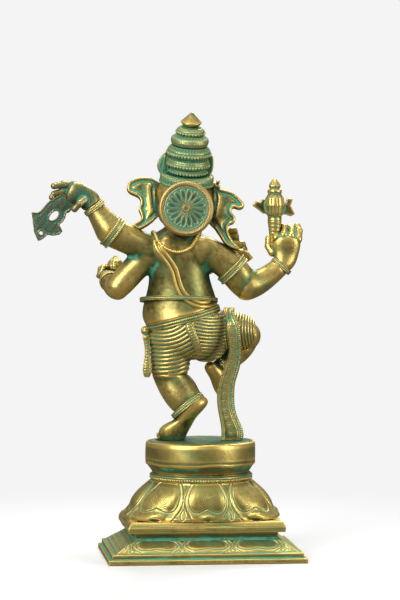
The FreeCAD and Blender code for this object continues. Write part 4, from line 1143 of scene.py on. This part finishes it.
def lotus():
    """Eight engraved petals round the cushion, over the hollow that the solid has."""
    lo, hi = lohi("lotus_cushion")
    c = middle("lotus_cushion")
    zs = np.linspace(lo[2] + 0.25 * MM, hi[2] - 0.25 * MM, 26)
    around = 880
    turn = np.linspace(-np.pi, np.pi, around, endpoint=False)
    coarse = np.linspace(-np.pi, np.pi, 176, endpoint=False)
    R = measured("lotus_cushion", c, coarse, zs)
    R = np.stack([np.interp(turn, coarse, r, period=2 * np.pi) for r in R])
    fine = np.linspace(zs[0], zs[-1], 104)
    R = np.stack([np.interp(fine, zs, R[:, j]) for j in range(around)], 1)
    for _ in range(3):
        R = relax(relax(R.T, closed=True).T)
    t = ((fine - fine[0]) / (fine[-1] - fine[0]))[:, None]
    place = (turn + np.pi / 2) / (2 * np.pi / LOTUS_PETALS) + 0.5
    un = place % 1 * 2 - 1
    body, core = petal_body(un[None], t)
    inner, outer, small = petal_lines(un[None], t, 31 * MM, 50 * MM)
    line = 0.62 * MM
    h = 1.1 * MM * body + 0.9 * MM * core * smoothstep(1.02 - t, 0, 0.2)
    h = h - 0.95 * MM * groove(inner, line) - 0.95 * MM * groove(outer, line)
    h = h - 0.8 * MM * groove(small, 0.5 * MM)
    # a second, finer line inside the inner outline, and faint rays at the petal's heart
    rays = groove(((np.arctan2(t - 0.30, np.abs(un[None]) * 0.9 + 1e-6) / 0.22) % 1 - 0.5) * 4, 0.7)
    heart = np.hypot(un[None] * 0.9, t - 0.42)
    h = h - 0.22 * MM * rays * smoothstep(heart, 0.34, 0.26) * smoothstep(heart, 0.05, 0.12)
    # the tip of each petal curls out over a dark hollow, each one a little differently
    which = np.floor(place).astype(int) % LOTUS_PETALS
    shift = np.array([0.04, -0.12, 0.1, 0.0, -0.06, 0.12, -0.1, 0.06])[which]
    size = np.array([1.0, 1.25, 0.8, 1.1, 0.9, 1.2, 0.85, 1.05])[which]
    tip = np.exp(-((un - shift) / 0.24)[None] ** 2 - ((t - 0.135) / 0.06) ** 2) * size
    notch = np.exp(-((un - shift) / 0.15)[None] ** 2 - ((t - 0.02) / 0.05) ** 2) * size
    lip = np.exp(-((t - 0.07) / 0.035) ** 2) * (0.6 + 0.4 * np.cos(un * 9)[None])
    h = h + 2.0 * MM * tip - 3.2 * MM * notch + 0.6 * MM * lip
    h = h * smoothstep(t, -0.02, 0.03) * smoothstep(1.0 - t, -0.01, 0.03)
    rows = np.stack([c[0] + R * np.cos(turn)[None], c[1] + R * np.sin(turn)[None],
                     np.broadcast_to(fine[:, None], R.shape)], -1)
    # inside: the solid's own inner wall, so that the cushion stays a hollow casting
    inside = []
    for z in np.linspace(hi[2], lo[2], 9):
        start = Vector((c[0], c[1], np.clip(z, lo[2] + 0.3 * MM, hi[2] - 0.3 * MM)))
        r = [(tree("lotus_cushion").ray_cast(start, Vector((math.cos(a), math.sin(a), 0)))[0] - start).length
             for a in coarse]
        r = np.interp(turn, coarse, r, period=2 * np.pi)
        inside.append(np.stack([c[0] + r * np.cos(turn), c[1] + r * np.sin(turn), np.full(around, z)], -1))
    rows = np.concatenate([np.array(inside), rows])
    h = np.concatenate([np.zeros((len(inside), around)), h])
    return solid_of(rows, h, shell=True)


make("lotus_petals", *lotus(), base_brass, ["lotus_cushion"], "base_brass")


# ---------------------------------------------------------------- plinth and slab
def box_rows(centre, spec, step):
    """Rows of a moulded rectangular base; spec is (half width, half depth, corner, z) per row."""
    wide = max(s[0] for s in spec)
    deep = max(s[1] for s in spec)
    nw, nd, nc = int(2 * wide / step), int(2 * deep / step), 6
    u = np.linspace(-1, 1, nw, endpoint=False)
    q = np.linspace(-1, 1, nd, endpoint=False)
    a = np.linspace(0, np.pi / 2, nc, endpoint=False)
    rows, side, along = [], None, []
    for hw, hd, r, z in spec:
        w, d = hw - r, hd - r
        parts = [np.stack([u * w, np.full(nw, -hd)], 1),
                 np.stack([w + r * np.sin(a), -d - r * np.cos(a)], 1),
                 np.stack([np.full(nd, hw), q * d], 1),
                 np.stack([w + r * np.cos(a), d + r * np.sin(a)], 1),
                 np.stack([-u * w, np.full(nw, hd)], 1),
                 np.stack([-w - r * np.sin(a), d + r * np.cos(a)], 1),
                 np.stack([np.full(nd, -hw), -q * d], 1),
                 np.stack([-w - r * np.cos(a), -d - r * np.sin(a)], 1)]
        p = np.vstack(parts)
        rows.append(np.column_stack([p + centre[:2], np.full(len(p), z)]))
        along.append(np.concatenate([u * w, np.full(nc, 9.0), q * d, np.full(nc, 9.0), u * w,
                                     np.full(nc, 9.0), q * d, np.full(nc, 9.0)]))
        if side is None:
            side = np.concatenate([np.full(k, s) for s, k in enumerate((nw, nc, nd, nc, nw, nc, nd, nc))])
    return np.array(rows), side, np.array(along)


def footprint(name, z):
    p = section(name, 2, z)
    return (p[:, 0].max() - p[:, 0].min()) / 2, (p[:, 1].max() - p[:, 1].min()) / 2


def hollow(name, z):
    """Half width and half depth of a node's hollow at one height."""
    c = middle(name)
    start = Vector((c[0], c[1], z))
    return tuple((tree(name).ray_cast(start, Vector(d))[0] - start).length for d in ((1, 0, 0), (0, 1, 0)))


def inset(size, *cuts):
    """Half width and half depth, less each of the cuts."""
    w, d = size
    for cut in cuts:
        w, d = w - cut, d - cut
    return w, d


def unevenness(rows, size, seed):
    """Slow hand-made waviness of a cast edge; the seed shifts its phase."""
    x, y, z = rows[..., 0], rows[..., 1], rows[..., 2]
    slow = np.sin(x * 61 + seed) * np.cos(y * 73 - seed)
    middling = 0.6 * np.sin(x * 143 + y * 121 + seed * 2 + z * 300)
    return size * (slow + middling + 0.4 * np.sin(z * 500 + x * 90 + seed)) / 2


def plinth():
    lo, hi = lohi("plinth")
    c = middle("plinth")
    e = 0.25 * MM
    edge = 0.7 * MM
    low, high = 12.6, 25.5                   # the sloping faces, in millimetres up

    def z(k):
        return lo[2] + k * MM

    foot, step, slope_lo, slope_hi, neck = (footprint("plinth", z(k)) for k in (3, 9, low, high, 30))
    well = [(z(k), *hollow("plinth", z(k))) for k in (33.5, 28, 22, 13, 11, 6, 0.4)]
    steps = [(hi[2] - 0.05 * MM, *well[0][1:]), *well, (z(0), *well[-1][1:]),
             (z(0), *inset(foot, edge, e)), (z(0.7), *inset(foot, e)), (z(5.2), *inset(foot, e)),
             (z(5.8), *inset(foot, edge, e)), (z(5.9), *inset(step, 0.2 * MM)), (z(6.5), *inset(step, e)),
             (z(11.2), *inset(step, e)), (z(11.8), *inset(step, edge, e)),
             (z(12.1), *inset(slope_lo, -0.4 * MM)), (z(low), *slope_lo), (z(high), *slope_hi),
             (z(26.1), *inset(neck, -0.4 * MM)), (z(27), *neck), (hi[2], *neck)]
    line = even([(w, d, 1.2 * MM, zz) for zz, w, d in steps], 0.66 * MM)[0]
    rows, side, along = box_rows(c, line, 0.80 * MM)
    zz = rows[..., 2]
    outside = np.arange(len(rows)) > np.argmin(line[:, 3]) + 2
    t = (zz - z(low)) / (z(high) - z(low))
    on = smoothstep(t, 0.0, 0.04) * smoothstep(1 - t, 0.0, 0.04)
    long_face = (side % 4 == 0)[None]
    short_face = (side % 4 == 2)[None]
    pitch = 57 * MM
    un = ((along / pitch + 0.5) % 1) * 2 - 1
    inner, outer, small = petal_lines(un, np.clip(t, 0, 1), pitch / 2, 20 * MM)
    motif = -0.85 * MM * (groove(inner, 0.62 * MM) + groove(outer, 0.6 * MM) + 0.8 * groove(small, 0.5 * MM))
    fit = np.abs(along) < 1.62 * pitch
    strips = -0.6 * MM * sum(groove((t - k) * 18 * MM, 0.5 * MM) for k in (0.14, 0.38, 0.62, 0.86))
    from_ring = np.hypot(((along / (9 * MM)) % 1 - 0.5) * 9 * MM, (t - 0.5) * 18 * MM) - 1.3 * MM
    rings = -0.35 * MM * groove(from_ring, 0.4 * MM)
    h = on * (motif * long_face * fit + (strips + rings) * short_face)
    h = (h - e + unevenness(rows, 0.22 * MM, 1.0)) * outside[:, None]
    return solid_of(rows, h, shell=True)


make("plinth_casting", *plinth(), base_brass, ["plinth"], "base_brass")


def slab():
    lo, hi = lohi("base_slab")
    c = middle("base_slab")
    full = footprint("base_slab", lo[2] + 3 * MM)
    top = footprint("base_slab", hi[2] - 0.4 * MM)
    e = 0.2 * MM
    bevel = lo[2] + (hi[2] - lo[2]) * 0.585
    well = hollow("base_slab", (lo[2] + hi[2]) / 2)
    steps = [(hi[2], *well), (lo[2], *well), (lo[2], *inset(full, 1.2 * MM)),
             (lo[2] + 0.9 * MM, *inset(full, e)), (bevel - 0.8 * MM, *inset(full, e)),
             (bevel, *inset(full, 0.9 * MM)), (hi[2] - 0.5 * MM, *top), (hi[2], *inset(top, 0.8 * MM))]
    line = even([(w, d, 1.6 * MM, zz) for zz, w, d in steps], 0.8 * MM)[0]
    rows = box_rows(c, line, 0.9 * MM)[0]
    h = unevenness(rows, 0.5 * MM, 4.0) - 0.2 * MM
    # shallow line along the upright face
    h = h - 0.35 * MM * groove(rows[..., 2] - (lo[2] + 1.9 * MM), 0.5 * MM)
    outside = np.abs(line[:, 0]) > well[0] + 12 * MM
    return solid_of(rows, h * outside[:, None], shell=True)


make("base_slab_casting", *slab(), base_brass, ["base_slab"], "base_brass")

# ---------------------------------------------------------------- beaded ring and drum
r_lo, r_hi = lohi("bead_ring")
ring_c = middle("bead_ring") * (1, 1, 0)
ring_r = (r_hi[0] - r_lo[0]) / 2
drum_lo, drum_hi = lohi("drum")
drum_c = middle("drum") * (1, 1, 0)
drum_r = (drum_hi[0] - drum_lo[0]) / 2
UP = np.array([0, 0, 1.0])


def ring_relief(turn, s, r, h):
    """A row of beads low on the ring, and a rim that wavers a little."""
    row = beads(turn, 118, h, r_lo[2] + 2.6 * MM, 1.55 * MM, 1.15 * MM)
    row = row * smoothstep(r, ring_r - 5 * MM, ring_r - 3 * MM)
    wave = 0.25 * MM * np.sin(turn * 5 + 1) + 0.15 * MM * np.sin(turn * 11)
    return row + wave * smoothstep(r, ring_r - 9 * MM, ring_r - 4 * MM)


bore = hollow("bead_ring", (r_lo[2] + r_hi[2]) / 2)[0]
ring_profile = [(ring_r - r * MM, r_lo[2] + up * MM)
                for r, up in ((4, 0), (1.5, 0.4), (1.3, 4.2), (0.4, 4.9), (0.3, 5.8), (2.4, 7.2))]
ring_profile = spline([(bore, r_lo[2]), *ring_profile, (ring_r - 4.2 * MM, r_hi[2]), (bore, r_hi[2])], 8)
lathe("beaded_ring_casting", ring_c, UP, ring_profile, 0.5 * MM, 960, ring_relief, trim_brass,
      ["bead_ring"], "base_brass", hollow=True)


def drum_relief(turn, s, r, h):
    """A wandering lower edge, soft dents in the side and ripples on the top."""
    outer = smoothstep(r, bore + 0.5 * MM, bore + 2 * MM)
    # the lower edge wanders up and down, and the side keeps a few soft dents
    edge = drum_lo[2] + 10.5 * MM + MM * (0.9 * np.sin(turn * 4 + 0.7) + 0.6 * np.sin(turn * 9 + 2))
    out = 0.7 * MM * groove(h - edge, 1.6 * MM) * smoothstep(r, drum_r - 5 * MM, drum_r - 2 * MM)
    dents = np.sin(turn * 3 + 1.1) * np.sin(h * 160 + turn * 2) + 0.7 * np.sin(turn * 7 + h * 90)
    out = out + 0.35 * MM * dents * smoothstep(r, drum_r - 9 * MM, drum_r - 3 * MM)
    top = smoothstep(h, drum_hi[2] - 1.0 * MM, drum_hi[2] - 0.2 * MM)
    wavy = 0.25 * MM * np.sin(r * 260 + 2 * np.sin(turn * 2)) * np.sin(turn * 3 + r * 80)
    return outer * (out - 0.55 * MM * smoothstep(r, drum_r - 9 * MM, drum_r - 3 * MM)) + top * wavy


def top_shelter(v, n):
    """Raises the shelter reading on the drum's flat top: more green patina there, and more of the painted
    near-black shade.
    """
    return 0.45 * smoothstep(n[:, 2], 0.7, 0.95)


foot_r = max(profile_of(["drum"], drum_c, UP, drum_lo[2] + 0.4 * MM, drum_lo[2] + 0.9 * MM, 1 * MM))[0]
bore = hollow("drum", drum_lo[2] + 3 * MM)[0]
start = Vector((*drum_c[:2], drum_lo[2] + 3 * MM))
ceiling = tree("drum").ray_cast(start, Vector((0, 0, 1)))[0].z
drum_profile = [(0.4 * MM, ceiling), (bore - 0.3 * MM, ceiling), (bore, ceiling - 0.3 * MM),
                (bore, drum_lo[2]), (foot_r - 0.2 * MM, drum_lo[2] + 0.3 * MM),
                (foot_r + 0.4 * MM, drum_lo[2] + 1.2 * MM)]
drum_profile += [(drum_r + r * MM, drum_lo[2] + up * MM) for r, up in ((-1.6, 9.2), (-0.4, 11), (0.3, 16))]
drum_profile += [(drum_r - r * MM, drum_hi[2] - down * MM)
                 for r, down in ((-0.2, 5), (0.5, 1.6), (1.5, 0.5), (3.5, 0))]
drum_profile += [(drum_r * 0.5, drum_hi[2]), (0.4 * MM, drum_hi[2])]
lathe("drum_casting", drum_c, UP, drum_profile, 0.85 * MM, 560, drum_relief, base_brass, ["drum"],
      "base_brass", shelter_added=top_shelter)

# ---------------------------------------------------------------- axe, noose, sweet
axe_v = MESH["axe"][0]
axe_top = axe_v[axe_v[:, 2].argmax()].astype(float)
axe_lo, axe_hi = lohi("axe")


def axe_relief(v, n):
    """Ribs round the bulb and shaft, rings at the collar."""
    d = v - axe_top
    turn, rad = np.arctan2(d[:, 1], d[:, 0]), np.hypot(d[:, 0], d[:, 1])
    k = (v[:, 2] - axe_lo[2]) / (axe_hi[2] - axe_lo[2])
    near = smoothstep(13 * MM - rad, 0, 2 * MM) * smoothstep(1 - np.abs(n[:, 2]), 0.1, 0.4)
    ribs = (1 - np.abs(np.sin(turn * 4.5))) ** 2 * smoothstep(k, 0.42, 0.5) * smoothstep(0.77 - k, 0, 0.06)
    rings = groove(((v[:, 2] / (4.2 * MM)) % 1 - 0.5) * 4.2 * MM, 0.5 * MM) * (k < 0.42)
    bud = (1 - np.abs(np.sin(turn * 3))) ** 2 * (k > 0.87)
    return -MM * near * (0.6 * ribs + 0.35 * rings + 0.35 * bud)


cast("axe_casting", ["axe"], THIN_VOXEL, 0, skin_brass, "attribute_brass", 2, relief=axe_relief)


def noose_relief(v, n):
    """A raised rim and a corroded, lumpy face."""
    axes = balance("noose")[1]
    d = edge_distance(v, axes[0], axes[1], 0.7 * MM, 10)
    flat = smoothstep(np.abs(n @ axes[2]), 0.3, 0.8)
    lump = np.sin(v[:, 0] * 700 + 1) * np.sin(v[:, 2] * 620) + 0.6 * np.sin(v[:, 0] * 1500 + v[:, 2] * 1300)
    rim = 0.45 * groove(d - 1.5 * MM, 1.1 * MM) - 0.35 * groove(d - 3.6 * MM, 0.9 * MM)
    return MM * (flat * rim + 0.15 * lump - 0.15)


cast("noose_casting", ["noose"], THIN_VOXEL, 0, noose_brass, "attribute_brass", 2, relief=noose_relief)


def sweet_relief(v, n):
    """Folded dough: creases that climb to the tip with a twist."""
    c = balance("sweet")[0]
    d = v - c
    turn = np.arctan2(d[:, 1], d[:, 0])
    return -0.55 * MM * (1 - np.abs(np.sin(turn * 4.5 + d[:, 2] * 90))) ** 2 * smoothstep(d[:, 2], -6 * MM, 0)


cast("sweet_casting", ["sweet"], SMALL_VOXEL, 0, skin_brass, "attribute_brass", 2, relief=sweet_relief)

# ---------------------------------------------------------------- pegs under the foot and the sash
for n in ("foot_peg", "sash_peg"):
    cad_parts[n].data.materials.clear()
    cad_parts[n].data.materials.append(base_brass)

# ---------------------------------------------------------------- floor, light, camera
scene = bpy.context.scene
scene.view_settings.view_transform = "Standard"
BACKDROP = (0.90, 0.905, 0.90)
me = bpy.data.meshes.new("floor")
me.from_pydata([(-6, -6, 0), (6, -6, 0), (6, 9, 0), (-6, 9, 0)], [], [(0, 1, 2, 3)])
floor = bpy.data.objects.new("floor", me)
scene.collection.objects.link(floor)
fm = bpy.data.materials.new("pale_floor")
fm.use_nodes = True
nt = fm.node_tree
cloth = nt.nodes["Principled BSDF"]
cloth.inputs["Roughness"].default_value = 0.9
far = nt.nodes.new("ShaderNodeEmission")
far.inputs[0].default_value = (*BACKDROP, 1)
seen, dark = nt.nodes.new("ShaderNodeLightPath"), nt.nodes.new("ShaderNodeMix")
dark.data_type = "RGBA"
dark.inputs[6].default_value, dark.inputs[7].default_value = (0.10, 0.09, 0.08, 1), (0.80, 0.80, 0.79, 1)
nt.links.new(seen.outputs["Is Camera Ray"], dark.inputs[0])
nt.links.new(dark.outputs[2], cloth.inputs["Base Color"])
place, span = nt.nodes.new("ShaderNodeTexCoord"), nt.nodes.new("ShaderNodeVectorMath")
span.operation = "LENGTH"
nt.links.new(place.outputs["Object"], span.inputs[0])
fade, join = nt.nodes.new("ShaderNodeMapRange"), nt.nodes.new("ShaderNodeMixShader")
fade.interpolation_type = "SMOOTHSTEP"
fade.inputs[1].default_value, fade.inputs[2].default_value = 0.18, 0.75
nt.links.new(span.outputs["Value"], fade.inputs[0])
clear = nt.nodes.new("ShaderNodeMath")
clear.operation = "MULTIPLY"
nt.links.new(fade.outputs[0], clear.inputs[0])
nt.links.new(seen.outputs["Is Camera Ray"], clear.inputs[1])
nt.links.new(clear.outputs[0], join.inputs[0])
nt.links.new(cloth.outputs[0], join.inputs[1])
nt.links.new(far.outputs[0], join.inputs[2])
nt.links.new(join.outputs[0], nt.nodes["Material Output"].inputs["Surface"])
me.materials.append(fm)

world = bpy.data.worlds.new("studio")
scene.world = world
world.use_nodes = True
nt = world.node_tree
bg = nt.nodes["Background"]
coord = nt.nodes.new("ShaderNodeTexCoord")
sep = nt.nodes.new("ShaderNodeSeparateXYZ")
nt.links.new(coord.outputs["Generated"], sep.inputs[0])
shade = nt.nodes.new("ShaderNodeValToRGB")
shade.color_ramp.elements[0].position, shade.color_ramp.elements[0].color = 0.45, (0.02, 0.02, 0.02, 1)
shade.color_ramp.elements[1].position, shade.color_ramp.elements[1].color = 0.95, (0.50, 0.51, 0.52, 1)
up = nt.nodes.new("ShaderNodeMapRange")
up.inputs[1].default_value, up.inputs[2].default_value = -1, 1
nt.links.new(sep.outputs[2], up.inputs[0])
nt.links.new(up.outputs[0], shade.inputs[0])
path = nt.nodes.new("ShaderNodeLightPath")
pick = nt.nodes.new("ShaderNodeMix")
pick.data_type = "RGBA"
nt.links.new(path.outputs["Is Camera Ray"], pick.inputs[0])
nt.links.new(shade.outputs[0], pick.inputs[6])
pick.inputs[7].default_value = (*BACKDROP, 1)
nt.links.new(pick.outputs[2], bg.inputs[0])


def area(name, place, target, size, power, colour=(1, 1, 1)):
    light = bpy.data.lights.new(name, "AREA")
    light.shape = "RECTANGLE"
    light.size, light.size_y = size
    light.energy = power
    light.color = colour
    o = bpy.data.objects.new(name, light)
    o.location = place
    o.rotation_euler = (Vector(target) - Vector(place)).to_track_quat("-Z", "Y").to_euler()
    scene.collection.objects.link(o)


CENTRE = (0, 0, 0.28)
area("key", (-1.5, -1.7, 1.4), CENTRE, (1.3, 1.7), 52)
area("rim", (1.9, -1.2, 0.8), CENTRE, (0.8, 1.5), 20)
area("top", (0.1, 0.3, 2.2), CENTRE, (1.0, 0.8), 20)
area("front", (0.7, 1.9, 2.0), CENTRE, (0.9, 0.9), 26)

YAW, DIST, HEIGHT, AIM = math.radians(-6.0), 3.5, 0.45, Vector((-0.0011, 0, 0.2939))
data = bpy.data.cameras.new("camera")
data.sensor_fit, data.sensor_height, data.sensor_width = "VERTICAL", 36.0, 24.0
data.lens = 183.4
data.clip_end = 50
camera = bpy.data.objects.new("camera", data)
camera.location = (DIST * math.sin(YAW), -DIST * math.cos(YAW), HEIGHT)
camera.rotation_euler = (AIM - camera.location).to_track_quat("-Z", "Y").to_euler()
scene.collection.objects.link(camera)
scene.camera = camera
